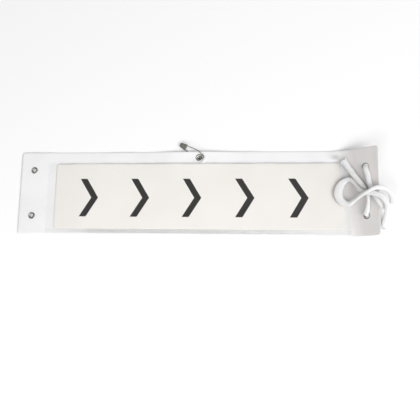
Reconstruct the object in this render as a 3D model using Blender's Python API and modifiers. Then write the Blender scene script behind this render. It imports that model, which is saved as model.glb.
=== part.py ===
"""Pocket armband, lying on a flat surface as it would by itself.

A white vinyl strap carries a cream card behind a clear vinyl window. Two small eyelets
stand at its left end. A closed safety pin passes through a third eyelet at the middle of
its upper edge. A braided cord runs through two punched holes near its right end, which
curls up, and is tied there in a bow.

Lengths are in metres, +Z is up, X runs along the strap and Y across it.
"""

import math
from collections import namedtuple

import bmesh
import bpy
from mathutils import Matrix, Vector

# Strap
BAND_LENGTH = 0.390
BAND_WIDTH = 0.090
BAND_CORNER_RADIUS = 0.003
BACKING_THICKNESS = 0.0010
CLEARANCE = 0.0003

# Card in the pocket, measured from the strap's edges
INSERT_THICKNESS = 0.0004
INSERT_LEFT_MARGIN = 0.040
INSERT_RIGHT_MARGIN = 0.042
INSERT_TOP_MARGIN = 0.0125
INSERT_BOTTOM_MARGIN = 0.0060
INSERT_CORNER_RADIUS = 0.0035
INSERT_RIGHT_SKEW = 0.006

# Clear window, measured outwards from the card's edges
COVER_THICKNESS = 0.0004
COVER_LEFT_WELD = 0.0090
COVER_RIGHT_WELD = 0.0060
COVER_BOTTOM_WELD = 0.0045
COVER_MOUTH_LIP = 0.0010
COVER_CORNER_RADIUS = 0.0015
COVER_STEP_RUN = 0.0015

# Curl of the right end: its bend starts further from the end at the upper edge
CURL_START_UPPER = 0.0566
CURL_START_LOWER = 0.0374
CURL_BEND_LENGTH = 0.022
CURL_ANGLE = math.radians(33)

# Eyelets
EYELET_HOLE_RADIUS = 0.0020
EYELET_WALL = 0.0004
EYELET_FLANGE_RADIUS = 0.0037
EYELET_FRONT_THICKNESS = 0.0005
EYELET_BACK_THICKNESS = 0.0004
EYELET_STEPS = 20
END_EYELET_INSET = 0.015
END_EYELET_SPACING = 0.050
TOP_EYELET_INSET = 0.0066
TOP_EYELET_OFFSET = 0.0023

# Punched holes for the cord
CORD_HOLE_RADIUS = 0.0032
CORD_HOLE_INSET = 0.015
CORD_HOLE_SPACING = 0.0490
CORD_HOLE_OFFSET = 0.0006
CORD_DIAMETER = 0.0048

# Rise of the strap over the end eyelets and over the pin's rear arm
END_RISE_RUN = 0.030
PIN_RISE_REACH = 0.055
PIN_RISE_DEPTH = 0.030
PIN_RISE_AHEAD = 0.0043

# Safety pin, measured ahead of its coil towards its cap and aside towards its rear arm
PIN_WIRE_DIAMETER = 0.0009
PIN_ANGLE = math.radians(28.3)
PIN_LENGTH = 0.0243
PIN_COIL_RADIUS = 0.0023
PIN_COIL_TURNS = 1.5
PIN_COIL_BACK = 0.0028
PIN_COIL_ASIDE = 0.0016
PIN_BOW_AHEAD = 0.0064
PIN_BOW_ASIDE = 0.0041
PIN_CAP_ASIDE = -0.0014
PIN_CAP_LENGTH = 0.0076
PIN_CAP_WIDTH = 0.0072
PIN_CAP_END_WIDTH = 0.0046
PIN_CAP_THICKNESS = 0.0021
PIN_CAP_WALL = 0.0003
PIN_CAP_ROUNDING = 0.0008
PIN_CAP_TILT = math.radians(30)

# Small puckers of the vinyl: places as shares of the strap's length and width,
# rises as shares of PUCKER_RISE and reaches as shares of the strap's width
PUCKER_RISE = 0.0010
Pucker = namedtuple("Pucker", "along across rise reach_along reach_across")
PUCKERS = (
    Pucker(along=0.868, across=0.935, rise=1.00, reach_along=0.090, reach_across=0.075),
    Pucker(along=0.905, across=0.060, rise=0.55, reach_along=0.140, reach_across=0.110),
    Pucker(along=0.640, across=0.985, rise=0.60, reach_along=0.300, reach_across=0.120),
    Pucker(along=0.290, across=0.990, rise=0.45, reach_along=0.260, reach_across=0.110),
)

# Spacing of the sheets' grid lines
FLAT_STEP = 0.045
RISE_STEP = 0.0095
CURL_STEP = 0.0042
ROW_STEP = 0.0095
CORNER_STEPS = 3

# The cord's centre line, from the end that lies on the strap to the end on the ground.
# Points are chosen by hand, in metres from the strap's middle.
CORD_POINTS = 76
CORD_ROUTE = (
    (0.1540, 0.0330, 0.0082),
    (0.1629, 0.0196, 0.0109),
    (0.1774, -0.0020, 0.0161),
    (0.1780, -0.0180, 0.0155),
    (0.1765, -0.0224, 0.0130),
    (0.1779, -0.0239, 0.0092),
    (0.1802, -0.0214, 0.0058),
    (0.1808, -0.0120, 0.0057),
    (0.1800, 0.0060, 0.0080),
    (0.1792, 0.0206, 0.0100),
    (0.1762, 0.0250, 0.0149),
    (0.1756, 0.0230, 0.0188),
    (0.1778, 0.0162, 0.0194),
    (0.1798, 0.0068, 0.0196),
    (0.1834, -0.0024, 0.0201),
    (0.1886, -0.0114, 0.0222),
    (0.1954, -0.0172, 0.0192),
    (0.2014, -0.0138, 0.0170),
    (0.2020, -0.0060, 0.0184),
    (0.1974, -0.0006, 0.0218),
    (0.1902, 0.0015, 0.0258),
    (0.1832, -0.0002, 0.0292),
    (0.1780, -0.0032, 0.0289),
    (0.1718, -0.0058, 0.0232),
    (0.1658, -0.0088, 0.0128),
    (0.1594, -0.0120, 0.0068),
    (0.1520, -0.0086, 0.0052),
    (0.1490, -0.0004, 0.0052),
    (0.1522, 0.0092, 0.0057),
    (0.1594, 0.0132, 0.0086),
    (0.1650, 0.0084, 0.0120),
    (0.1696, 0.0012, 0.0170),
    (0.1756, -0.0028, 0.0208),
    (0.1840, -0.0048, 0.0264),
    (0.1912, -0.0078, 0.0274),
    (0.1960, -0.0140, 0.0260),
    (0.1969, -0.0208, 0.0230),
    (0.1962, -0.0262, 0.0100),
    (0.1952, -0.0306, 0.0033),
    (0.1938, -0.0360, 0.0027),
)

# Heights of the layers above the strap's underside
INSERT_HEIGHT = BACKING_THICKNESS + CLEARANCE
COVER_WELD_HEIGHT = BACKING_THICKNESS + CLEARANCE
COVER_RAISED_HEIGHT = INSERT_HEIGHT + INSERT_THICKNESS + CLEARANCE

# The card's outline, along from the strap's left end and across from its middle line
INSERT_LEFT = INSERT_LEFT_MARGIN
INSERT_RIGHT = BAND_LENGTH - INSERT_RIGHT_MARGIN
INSERT_LOW = -BAND_WIDTH / 2 + INSERT_BOTTOM_MARGIN
INSERT_HIGH = BAND_WIDTH / 2 - INSERT_TOP_MARGIN
COVER_LEFT = INSERT_LEFT - COVER_LEFT_WELD
COVER_RIGHT = INSERT_RIGHT + COVER_RIGHT_WELD
COVER_LOW = INSERT_LOW - COVER_BOTTOM_WELD
COVER_HIGH = INSERT_HIGH + COVER_MOUTH_LIP

TOP_EYELET_ALONG = BAND_LENGTH / 2 + TOP_EYELET_OFFSET
TOP_EYELET_ACROSS = BAND_WIDTH / 2 - TOP_EYELET_INSET

# The pin's rear arm lies on the ground, and the top eyelet's flange stands clear above it
END_RISE = EYELET_BACK_THICKNESS + CLEARANCE
REAR_ARM_HEIGHT = PIN_WIRE_DIAMETER / 2 + CLEARANCE / 6
TOP_EYELET_RISE = REAR_ARM_HEIGHT + PIN_WIRE_DIAMETER / 2 + CLEARANCE / 2 + END_RISE
PIN_RISE_ALONG = TOP_EYELET_ALONG - PIN_RISE_AHEAD
PIN_RISE = TOP_EYELET_RISE / (1 - TOP_EYELET_INSET / PIN_RISE_DEPTH) ** 2


def smooth_step(value):
    """0 below 0, 1 above 1 and a smooth ramp between."""
    value = min(max(value, 0.0), 1.0)
    return value * value * (3 - 2 * value)


def bell(value):
    """1 at 0 and smoothly down to 0 at a distance of 1."""
    return max(1 - value * value, 0.0) ** 2


def strap_rise(along, across):
    """How far the strap's underside is lifted by what lies under it and by its puckers."""
    from_eyelets = along - END_EYELET_INSET - EYELET_FLANGE_RADIUS
    rise = END_RISE * (1 - smooth_step(from_eyelets / END_RISE_RUN))

    from_pin = (along - PIN_RISE_ALONG) / PIN_RISE_REACH
    depth = 1 + (across - BAND_WIDTH / 2) / PIN_RISE_DEPTH
    rise += PIN_RISE * bell(from_pin) * max(depth, 0.0) ** 2

    for pucker in PUCKERS:
        aside = along - pucker.along * BAND_LENGTH
        beyond = across - (pucker.across - 0.5) * BAND_WIDTH
        rise += (
            PUCKER_RISE
            * pucker.rise
            * bell(aside / (pucker.reach_along * BAND_WIDTH))
            * bell(beyond / (pucker.reach_across * BAND_WIDTH))
        )
    return rise


def curl_start(across):
    """How far along the strap its right end starts to bend up."""
    share = across / BAND_WIDTH + 0.5
    return BAND_LENGTH - CURL_START_LOWER - (CURL_START_UPPER - CURL_START_LOWER) * share


def underside(along, across):
    """A point of the strap's underside: flat, then round the bend, then straight up the slope."""
    start = curl_start(across)
    radius = CURL_BEND_LENGTH / CURL_ANGLE
    turned = min(max((along - start) / CURL_BEND_LENGTH, 0.0), 1.0) * CURL_ANGLE
    beyond = max(along - start - CURL_BEND_LENGTH, 0.0)
    x = min(along, start) + radius * math.sin(turned) + beyond * math.cos(CURL_ANGLE)
    z = radius * (1 - math.cos(turned)) + beyond * math.sin(CURL_ANGLE)
    return Vector((x - BAND_LENGTH / 2, across, z + strap_rise(along, across)))


def strap_normal(along, across):
    """The upward normal of the strap, from points a little to each side."""
    reach = CLEARANCE
    east = underside(along + reach, across) - underside(along - reach, across)
    north = underside(along, across + reach) - underside(along, across - reach)
    return east.cross(north).normalized()


def strap_point(along, across, height):
    """A point at a height above the strap's underside, measured square to it."""
    return underside(along, across) + height * strap_normal(along, across)


def spaced(start, end, step):
    """Evenly spaced values from start to end, about a step apart."""
    count = max(round((end - start) / step), 1)
    return [start + (end - start) * i / count for i in range(count + 1)]


def sheet_columns(left, right, radius, extra=()):
    """Places along a sheet: close together at its corners, at the rises and in the curl."""
    corner = [
        radius * (1 - math.cos(math.pi / 2 * i / CORNER_STEPS)) for i in range(CORNER_STEPS + 1)
    ]
    pin_from = PIN_RISE_ALONG - PIN_RISE_REACH
    pin_to = PIN_RISE_ALONG + PIN_RISE_REACH
    end_from = END_EYELET_INSET + EYELET_FLANGE_RADIUS
    curl_from = BAND_LENGTH - CURL_START_UPPER
    curl_to = BAND_LENGTH - CURL_START_LOWER + CURL_BEND_LENGTH
    inner = (
        spaced(end_from, end_from + END_RISE_RUN, RISE_STEP)
        + spaced(end_from + END_RISE_RUN, pin_from, FLAT_STEP)
        + spaced(pin_from, pin_to, RISE_STEP)
        + spaced(pin_to, curl_from, FLAT_STEP)
        + spaced(curl_from, curl_to, CURL_STEP)
    )
    edges = [left + c for c in corner] + [right - c for c in corner] + list(extra)
    keep = CURL_STEP / 3
    clear = [
        a for a in inner if left + radius < a < right - radius and all(abs(a - e) > keep for e in edges)
    ]
    columns = []
    for along in sorted(clear + edges):
        if not columns or along - columns[-1] > CLEARANCE:
            columns.append(along)
    return columns


def corner_inset(along, left, right, radius):
    """How far a sheet's long edges draw in near its rounded corners."""
    from_end = min(along - left, right - along)
    if from_end >= radius:
        return 0.0
    return radius - math.sqrt(max(radius * radius - (radius - from_end) ** 2, 0.0))


def make_material(name, colour, roughness, metallic=0.0, alpha=1.0):
    material = bpy.data.materials.new(name)
    material.use_nodes = True
    shader = material.node_tree.nodes["Principled BSDF"]
    shader.inputs["Base Color"].default_value = (*colour, 1.0)
    shader.inputs["Roughness"].default_value = roughness
    shader.inputs["Metallic"].default_value = metallic
    shader.inputs["Alpha"].default_value = alpha
    return material


def add_object(name, data, material, collection, root):
    """An object of the armband, in its collection and under its root empty."""
    data.materials.append(material)
    thing = bpy.data.objects.new(name, data)
    collection.objects.link(thing)
    thing.parent = root
    return thing


def make_sheet(columns, rows, outline, height_at, place_along):
    """An open grid laid on the strap, with its corners rounded."""
    left, right, low, high, radius = outline
    bm = bmesh.new()
    bmesh.ops.create_grid(
        bm, x_segments=len(columns) - 1, y_segments=len(rows) - 1, size=1.0
    )
    middle = (low + high) / 2
    for vert in bm.verts:
        column = columns[round((vert.co.x + 1) / 2 * (len(columns) - 1))]
        row = rows[round((vert.co.y + 1) / 2 * (len(rows) - 1))]
        inset = corner_inset(column, left, right, radius)
        across = middle + (row - middle) * (1 - 2 * inset / (high - low))
        along = place_along(column, across)
        vert.co = strap_point(along, across, height_at(column, row))
    mesh = bpy.data.meshes.new("sheet")
    bm.to_mesh(mesh)
    bm.free()
    mesh.shade_smooth()
    return mesh


def thicken(thing, thickness):
    """A wall on the upper side of an open sheet."""
    wall = thing.modifiers.new("wall", "SOLIDIFY")
    wall.thickness = thickness
    wall.offset = 1.0
    wall.use_even_offset = True


def skewed(along, across):
    """A place along the card and window, whose right edges lean a little."""
    half = (INSERT_LEFT + INSERT_RIGHT) / 2
    share = min(max((along - half) / (INSERT_RIGHT - half), 0.0), 1.0)
    lean = across / (INSERT_HIGH - INSERT_LOW)
    return along - INSERT_RIGHT_SKEW * lean * share


def cover_height(along, across):
    """The window's underside: raised over the card, stepping down to its welds."""
    outside = max(INSERT_LEFT - along, along - INSERT_RIGHT, INSERT_LOW - across)
    raised = 1 - smooth_step(outside / COVER_STEP_RUN)
    return COVER_WELD_HEIGHT + raised * (COVER_RAISED_HEIGHT - COVER_WELD_HEIGHT)


def hole_cutter(name, along, across, radius, cutters):
    """A cylinder square to the strap, to punch a round hole."""
    depth = 12 * BACKING_THICKNESS
    bm = bmesh.new()
    bmesh.ops.create_cone(
        bm, cap_ends=True, segments=EYELET_STEPS, radius1=radius, radius2=radius, depth=depth
    )
    mesh = bpy.data.meshes.new(name)
    bm.to_mesh(mesh)
    bm.free()
    cutter = bpy.data.objects.new(name, mesh)
    cutter.hide_render = True
    cutter.display_type = "WIRE"
    cutters.objects.link(cutter)
    cutter.matrix_world = strap_frame(along, across)
    return cutter


def strap_frame(along, across):
    """The place and turn of something that stands square on the strap's underside."""
    up = strap_normal(along, across)
    east = (underside(along + CLEARANCE, across) - underside(along, across)).normalized()
    north = up.cross(east).normalized()
    east = north.cross(up)
    turn = Matrix((east, north, up)).transposed().to_4x4()
    return Matrix.Translation(underside(along, across)) @ turn


def cut(thing, cutter):
    hole = thing.modifiers.new(cutter.name, "BOOLEAN")
    hole.operation = "DIFFERENCE"
    hole.solver = "EXACT"
    hole.object = cutter


def eyelet_places():
    """Names and places of the eyelets."""
    half = END_EYELET_SPACING / 2
    return (
        ("eyelet_left_upper", END_EYELET_INSET, half),
        ("eyelet_left_lower", END_EYELET_INSET, -half),
        ("eyelet_top", TOP_EYELET_ALONG, TOP_EYELET_ACROSS),
    )


def cord_hole_places():
    """Names and places of the punched holes."""
    along = BAND_LENGTH - CORD_HOLE_INSET
    upper = CORD_HOLE_OFFSET + CORD_HOLE_SPACING / 2
    lower = CORD_HOLE_OFFSET - CORD_HOLE_SPACING / 2
    return (("cord_hole_upper", along, upper), ("cord_hole_lower", along, lower))


def make_backing(collection, cutters, root):
    """The strap, with its holes cut square through it."""
    low, high = -BAND_WIDTH / 2, BAND_WIDTH / 2
    outline = (0.0, BAND_LENGTH, low, high, BAND_CORNER_RADIUS)
    mesh = make_sheet(
        sheet_columns(0.0, BAND_LENGTH, BAND_CORNER_RADIUS),
        spaced(low, high - PIN_RISE_DEPTH, 2 * ROW_STEP)
        + spaced(high - PIN_RISE_DEPTH, high, ROW_STEP / 2)[1:],
        outline,
        lambda along, across: 0.0,
        lambda along, across: along,
    )
    material = make_material("white vinyl", (0.80, 0.80, 0.80), 0.38)
    strap = add_object("backing_sheet", mesh, material, collection, root)
    thicken(strap, BACKING_THICKNESS)
    eyelet_hole = EYELET_HOLE_RADIUS + EYELET_WALL + CLEARANCE
    for name, along, across in eyelet_places():
        cut(strap, hole_cutter(name + "_hole", along, across, eyelet_hole, cutters))
    for name, along, across in cord_hole_places():
        cut(strap, hole_cutter(name, along, across, CORD_HOLE_RADIUS, cutters))
    return strap


def make_insert(collection, root):
    """The card behind the window."""
    outline = (INSERT_LEFT, INSERT_RIGHT, INSERT_LOW, INSERT_HIGH, INSERT_CORNER_RADIUS)
    mesh = make_sheet(
        sheet_columns(INSERT_LEFT, INSERT_RIGHT, INSERT_CORNER_RADIUS),
        spaced(INSERT_LOW, BAND_WIDTH / 2 - PIN_RISE_DEPTH, 2 * ROW_STEP)
        + spaced(BAND_WIDTH / 2 - PIN_RISE_DEPTH, INSERT_HIGH, ROW_STEP / 2)[1:],
        outline,
        lambda along, across: INSERT_HEIGHT,
        skewed,
    )
    material = make_material("cream card", (0.84, 0.81, 0.76), 0.55)
    card = add_object("insert_panel", mesh, material, collection, root)
    thicken(card, INSERT_THICKNESS)
    return card


def make_cover(collection, root):
    """The clear window, stepped over the card."""
    outline = (COVER_LEFT, COVER_RIGHT, COVER_LOW, COVER_HIGH, COVER_CORNER_RADIUS)
    steps = (INSERT_LEFT - COVER_STEP_RUN, INSERT_LEFT, INSERT_RIGHT, INSERT_RIGHT + COVER_STEP_RUN)
    rise_from = BAND_WIDTH / 2 - PIN_RISE_DEPTH
    rows = [COVER_LOW, INSERT_LOW - COVER_STEP_RUN]
    rows += spaced(INSERT_LOW, rise_from, 2 * ROW_STEP)
    rows += spaced(rise_from, COVER_HIGH, ROW_STEP / 2)[1:]
    mesh = make_sheet(
        sheet_columns(COVER_LEFT, COVER_RIGHT, COVER_CORNER_RADIUS, extra=steps),
        rows,
        outline,
        cover_height,
        skewed,
    )
    material = make_material("clear vinyl", (0.95, 0.96, 0.97), 0.08, alpha=0.35)
    window = add_object("clear_cover", mesh, material, collection, root)
    thicken(window, COVER_THICKNESS)
    return window


def make_eyelet(name, along, across, collection, root):
    """A rolled eyelet: one turned section with a flange on each side of the strap."""
    front_low = BACKING_THICKNESS + CLEARANCE
    front_high = front_low + EYELET_FRONT_THICKNESS
    back_high = -CLEARANCE
    back_low = back_high - EYELET_BACK_THICKNESS
    barrel = EYELET_HOLE_RADIUS + EYELET_WALL
    lip = EYELET_FRONT_THICKNESS / 2
    profile = (
        (EYELET_HOLE_RADIUS + lip, front_high),
        (EYELET_FLANGE_RADIUS - 2 * lip, front_high),
        (EYELET_FLANGE_RADIUS - lip / 2, front_high - lip / 2),
        (EYELET_FLANGE_RADIUS, front_low + lip / 2),
        (EYELET_FLANGE_RADIUS, front_low),
        (barrel, front_low),
        (barrel, back_high),
        (EYELET_FLANGE_RADIUS - lip, back_high),
        (EYELET_FLANGE_RADIUS - lip, back_low),
        (EYELET_HOLE_RADIUS, back_low),
        (EYELET_HOLE_RADIUS, front_high - lip),
    )
    bm = bmesh.new()
    verts = [bm.verts.new((radius, 0.0, height)) for radius, height in profile]
    for start, end in zip(verts, verts[1:] + verts[:1]):
        bm.edges.new((start, end))
    mesh = bpy.data.meshes.new(name)
    bm.to_mesh(mesh)
    bm.free()
    material = make_material(name + " nickel", (0.62, 0.61, 0.57), 0.28, metallic=1.0)
    eyelet = add_object(name, mesh, material, collection, root)
    eyelet.matrix_local = strap_frame(along, across)
    turn = eyelet.modifiers.new("turn", "SCREW")
    turn.steps = EYELET_STEPS
    turn.render_steps = EYELET_STEPS
    turn.merge_threshold = 0.00001
    turn.use_merge_vertices = True
    turn.use_smooth_shade = True
    return eyelet


def smooth_curve(points, per_span):
    """Points of a smooth curve through the given ones (Catmull-Rom)."""
    points = [Vector(p) for p in points]
    ends = [2 * points[0] - points[1], *points, 2 * points[-1] - points[-2]]
    curve = []
    for before, start, end, after in zip(ends, ends[1:], ends[2:], ends[3:]):
        for i in range(per_span):
            t = i / per_span
            curve.append(
                0.5
                * (
                    2 * start
                    + (end - before) * t
                    + (2 * before - 5 * start + 4 * end - after) * t**2
                    + (3 * start - before - 3 * end + after) * t**3
                )
            )
    curve.append(points[-1])
    return curve


def even_points(curve, count):
    """Points at even spacing along a polyline."""
    lengths = [0.0]
    for start, end in zip(curve, curve[1:]):
        lengths.append(lengths[-1] + (end - start).length)
    points, span = [], 0
    for i in range(count):
        target = lengths[-1] * i / (count - 1)
        while span < len(curve) - 2 and lengths[span + 1] < target:
            span += 1
        share = (target - lengths[span]) / (lengths[span + 1] - lengths[span])
        points.append(curve[span].lerp(curve[span + 1], share))
    return points


def make_tube(name, points, diameter, material, collection, root):
    """A round wire or cord along a polyline, with closed ends."""
    curve = bpy.data.curves.new(name, "CURVE")
    curve.dimensions = "3D"
    curve.bevel_depth = diameter / 2
    curve.bevel_resolution = 2
    curve.use_fill_caps = True
    spline = curve.splines.new("POLY")
    spline.points.add(len(points) - 1)
    for point, place in zip(spline.points, points):
        point.co = (*place, 1.0)
    return add_object(name, curve, material, collection, root)


def pin_place(ahead, aside, height):
    """A point given ahead of the pin's coil, aside of it and above the ground."""
    eyelet = underside(TOP_EYELET_ALONG, TOP_EYELET_ACROSS)
    ahead -= PIN_COIL_BACK
    aside -= PIN_COIL_ASIDE
    x = eyelet.x - ahead * math.cos(PIN_ANGLE) - aside * math.sin(PIN_ANGLE)
    y = eyelet.y + ahead * math.sin(PIN_ANGLE) - aside * math.cos(PIN_ANGLE)
    return Vector((x, y, height))


def cap_middle_height():
    """The height of the cap's middle, with its lower edge just off the ground."""
    half_width = PIN_CAP_WIDTH / 2 * math.sin(PIN_CAP_TILT)
    half_thickness = PIN_CAP_THICKNESS / 2 * math.cos(PIN_CAP_TILT)
    return CLEARANCE + half_width + half_thickness


def make_pin_wire(collection, root):
    """The pin's wire: front arm, coil, then the rear arm down through the top eyelet."""
    radius = PIN_COIL_RADIUS
    eyelet = underside(TOP_EYELET_ALONG, TOP_EYELET_ACROSS)
    hole_middle = eyelet.z + BACKING_THICKNESS / 2
    flange_top = eyelet.z + BACKING_THICKNESS + CLEARANCE + EYELET_FRONT_THICKNESS
    coil_low = flange_top + CLEARANCE / 2 + PIN_WIRE_DIAMETER / 2
    pitch = PIN_WIRE_DIAMETER + CLEARANCE * 2 / 3
    coil_high = coil_low + PIN_COIL_TURNS * pitch

    tip = PIN_LENGTH - PIN_CAP_LENGTH / 5
    mean_width = PIN_CAP_WIDTH - (PIN_CAP_WIDTH - PIN_CAP_END_WIDTH) / 3
    half_gap = mean_width / 2 - PIN_CAP_WALL - CLEARANCE - PIN_WIRE_DIAMETER / 2
    tip_aside = half_gap * math.cos(PIN_CAP_TILT)
    tip_rise = half_gap * math.sin(PIN_CAP_TILT)
    tip_height = cap_middle_height()

    points = [
        pin_place(tip, PIN_CAP_ASIDE - tip_aside, tip_height + tip_rise),
        pin_place(PIN_LENGTH / 2, -PIN_BOW_ASIDE, (tip_height + tip_rise + coil_high) / 2),
        pin_place(PIN_BOW_AHEAD, -PIN_BOW_ASIDE, coil_high - CLEARANCE),
        pin_place(PIN_BOW_AHEAD / 2, -(PIN_BOW_ASIDE + radius) / 2, coil_high),
    ]
    steps = round(12 * PIN_COIL_TURNS)
    for i in range(steps + 1):
        share = i / steps
        angle = -math.pi / 2 - 2 * math.pi * PIN_COIL_TURNS * share
        height = coil_high + share * (coil_low - coil_high)
        points.append(pin_place(radius * math.cos(angle), radius * math.sin(angle), height))

    half_drop = (coil_low - REAR_ARM_HEIGHT) / 2
    reach = EYELET_HOLE_RADIUS
    points += [
        pin_place(PIN_COIL_BACK - 0.75 * reach, radius, hole_middle + 0.93 * half_drop),
        pin_place(PIN_COIL_BACK - 0.35 * reach, radius, hole_middle + 0.55 * half_drop),
        pin_place(PIN_COIL_BACK, radius, hole_middle),
        pin_place(PIN_COIL_BACK + 0.35 * reach, radius, hole_middle - 0.55 * half_drop),
        pin_place(PIN_COIL_BACK + 0.80 * reach, radius, REAR_ARM_HEIGHT + CLEARANCE / 3),
        pin_place(PIN_COIL_BACK + 1.60 * reach, radius, REAR_ARM_HEIGHT),
        pin_place(PIN_LENGTH / 2, radius, REAR_ARM_HEIGHT + CLEARANCE),
        pin_place(tip, PIN_CAP_ASIDE + tip_aside, tip_height - tip_rise),
    ]
    material = make_material("pin steel", (0.46, 0.46, 0.44), 0.30, metallic=1.0)
    curve = smooth_curve(points, 3)
    return make_tube("pin_wire", curve, PIN_WIRE_DIAMETER, material, collection, root)


def cap_block(name, length, width, end_width, thickness):
    """A flat block along X, narrower at its far end."""
    bm = bmesh.new()
    bmesh.ops.create_cube(bm, size=1.0)
    for vert in bm.verts:
        wide = end_width if vert.co.x > 0 else width
        vert.co = (vert.co.x * length, vert.co.y * wide, vert.co.z * thickness)
    mesh = bpy.data.meshes.new(name)
    bm.to_mesh(mesh)
    bm.free()
    return mesh


def make_pin_cap(collection, cutters, root):
    """The pin's folded cap, hollow where the arms go in."""
    forward = (pin_place(PIN_LENGTH, 0.0, 0.0) - pin_place(0.0, 0.0, 0.0)).normalized()
    level = Vector((0.0, 0.0, 1.0)).cross(forward)
    up = Matrix.Rotation(-PIN_CAP_TILT, 3, forward) @ Vector((0.0, 0.0, 1.0))
    across = Matrix.Rotation(-PIN_CAP_TILT, 3, forward) @ level
    turn = Matrix((forward, across, up)).transposed().to_4x4()
    middle = pin_place(PIN_LENGTH, PIN_CAP_ASIDE, cap_middle_height())
    place = Matrix.Translation(middle) @ turn

    mesh = cap_block(
        "pin_cap", PIN_CAP_LENGTH, PIN_CAP_WIDTH, PIN_CAP_END_WIDTH, PIN_CAP_THICKNESS
    )
    material = make_material("pin cap steel", (0.40, 0.40, 0.37), 0.34, metallic=1.0)
    cap = add_object("pin_cap", mesh, material, collection, root)
    cap.matrix_local = place
    rounding = cap.modifiers.new("rounding", "BEVEL")
    rounding.width = PIN_CAP_ROUNDING
    rounding.segments = 3
    rounding.limit_method = "NONE"

    walls = 2 * PIN_CAP_WALL
    mesh = cap_block(
        "cap_hollow",
        PIN_CAP_LENGTH,
        PIN_CAP_WIDTH - walls,
        PIN_CAP_END_WIDTH - walls,
        PIN_CAP_THICKNESS - walls,
    )
    hollow = bpy.data.objects.new("cap_hollow", mesh)
    hollow.hide_render = True
    hollow.display_type = "WIRE"
    cutters.objects.link(hollow)
    hollow.matrix_world = place @ Matrix.Translation((-walls, 0.0, 0.0))
    cut(cap, hollow)
    return cap


def make_cord(collection, root):
    """The tie cord, one smooth line through its hand-chosen points."""
    curve = smooth_curve(CORD_ROUTE, 12)
    points = even_points(curve, CORD_POINTS)
    material = make_material("white braid", (0.86, 0.86, 0.87), 0.85)
    return make_tube("tie_cord", points, CORD_DIAMETER, material, collection, root)


def stand_over_origin(root, things, cutters):
    """Move everything so that the base of the things' box has its middle at the origin."""
    bpy.context.view_layer.update()
    graph = bpy.context.evaluated_depsgraph_get()
    corners = []
    for thing in things:
        shown = thing.evaluated_get(graph)
        mesh = shown.to_mesh()
        corners += [shown.matrix_world @ vert.co for vert in mesh.vertices]
        shown.to_mesh_clear()
    low = Vector([min(c[i] for c in corners) for i in range(3)])
    high = Vector([max(c[i] for c in corners) for i in range(3)])
    shift = Vector((-(low.x + high.x) / 2, -(low.y + high.y) / 2, -low.z))
    root.location = shift
    for cutter in cutters.objects:
        cutter.location += shift


def main():
    for thing in list(bpy.data.objects):
        bpy.data.objects.remove(thing, do_unlink=True)
    collection = bpy.data.collections.new("armband")
    cutters = bpy.data.collections.new("cutters")
    for group in (collection, cutters):
        bpy.context.scene.collection.children.link(group)
    root = bpy.data.objects.new("armband_frame", None)
    collection.objects.link(root)

    things = [
        make_backing(collection, cutters, root),
        make_insert(collection, root),
        make_cover(collection, root),
        make_pin_wire(collection, root),
        make_pin_cap(collection, cutters, root),
    ]
    things += [make_eyelet(*place, collection, root) for place in eyelet_places()]
    make_cord(collection, root)
    stand_over_origin(root, things, cutters)


main()
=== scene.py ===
"""Looks of the pocket armband: vinyl strap, card, clear window, eyelets, safety pin and tied cord."""

import math
from collections import namedtuple
from functools import partial

import bpy
import numpy as np
from mathutils import Matrix, Vector
from mathutils.geometry import delaunay_2d_cdt


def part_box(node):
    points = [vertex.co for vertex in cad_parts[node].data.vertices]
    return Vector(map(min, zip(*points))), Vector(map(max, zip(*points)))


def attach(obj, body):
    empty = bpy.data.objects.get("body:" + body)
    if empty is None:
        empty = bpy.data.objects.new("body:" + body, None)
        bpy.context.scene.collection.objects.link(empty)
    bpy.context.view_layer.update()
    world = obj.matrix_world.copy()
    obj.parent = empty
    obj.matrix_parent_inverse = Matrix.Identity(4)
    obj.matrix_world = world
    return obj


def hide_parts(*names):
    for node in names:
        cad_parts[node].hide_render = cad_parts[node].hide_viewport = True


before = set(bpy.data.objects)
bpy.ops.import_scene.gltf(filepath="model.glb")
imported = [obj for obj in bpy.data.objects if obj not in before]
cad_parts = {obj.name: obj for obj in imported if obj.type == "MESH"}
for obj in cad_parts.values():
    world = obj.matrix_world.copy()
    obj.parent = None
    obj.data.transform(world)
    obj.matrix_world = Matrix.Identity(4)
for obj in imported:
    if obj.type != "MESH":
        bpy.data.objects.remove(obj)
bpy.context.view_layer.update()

# Strap, in metres, measured flat
BAND_LENGTH = 0.390
BAND_WIDTH = 0.090
BAND_CORNER_RADIUS = 0.003
BACKING_THICKNESS = 0.0010
CLEARANCE = 0.0003

# Card and the clear window over it, measured from the strap's edges
INSERT_THICKNESS = 0.0004
INSERT_LEFT = 0.040
INSERT_RIGHT = BAND_LENGTH - 0.042
INSERT_LOW = -BAND_WIDTH / 2 + 0.0060
INSERT_HIGH = BAND_WIDTH / 2 - 0.0125
INSERT_CORNER_RADIUS = 0.0035
INSERT_RIGHT_SKEW = 0.006
COVER_THICKNESS = 0.0004
COVER_LEFT = INSERT_LEFT - 0.0090
COVER_RIGHT = INSERT_RIGHT + 0.0060
COVER_LOW = INSERT_LOW - 0.0045
COVER_HIGH = INSERT_HIGH + 0.0010
COVER_CORNER_RADIUS = 0.0015
COVER_STEP_RUN = 0.0015
INSERT_HEIGHT = BACKING_THICKNESS + CLEARANCE
COVER_WELD_HEIGHT = BACKING_THICKNESS + CLEARANCE
COVER_RAISED_HEIGHT = INSERT_HEIGHT + INSERT_THICKNESS + CLEARANCE

# Curl of the right end
CURL_START_UPPER = 0.0566
CURL_START_LOWER = 0.0374
CURL_BEND_LENGTH = 0.022
CURL_ANGLE = math.radians(33)

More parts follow.
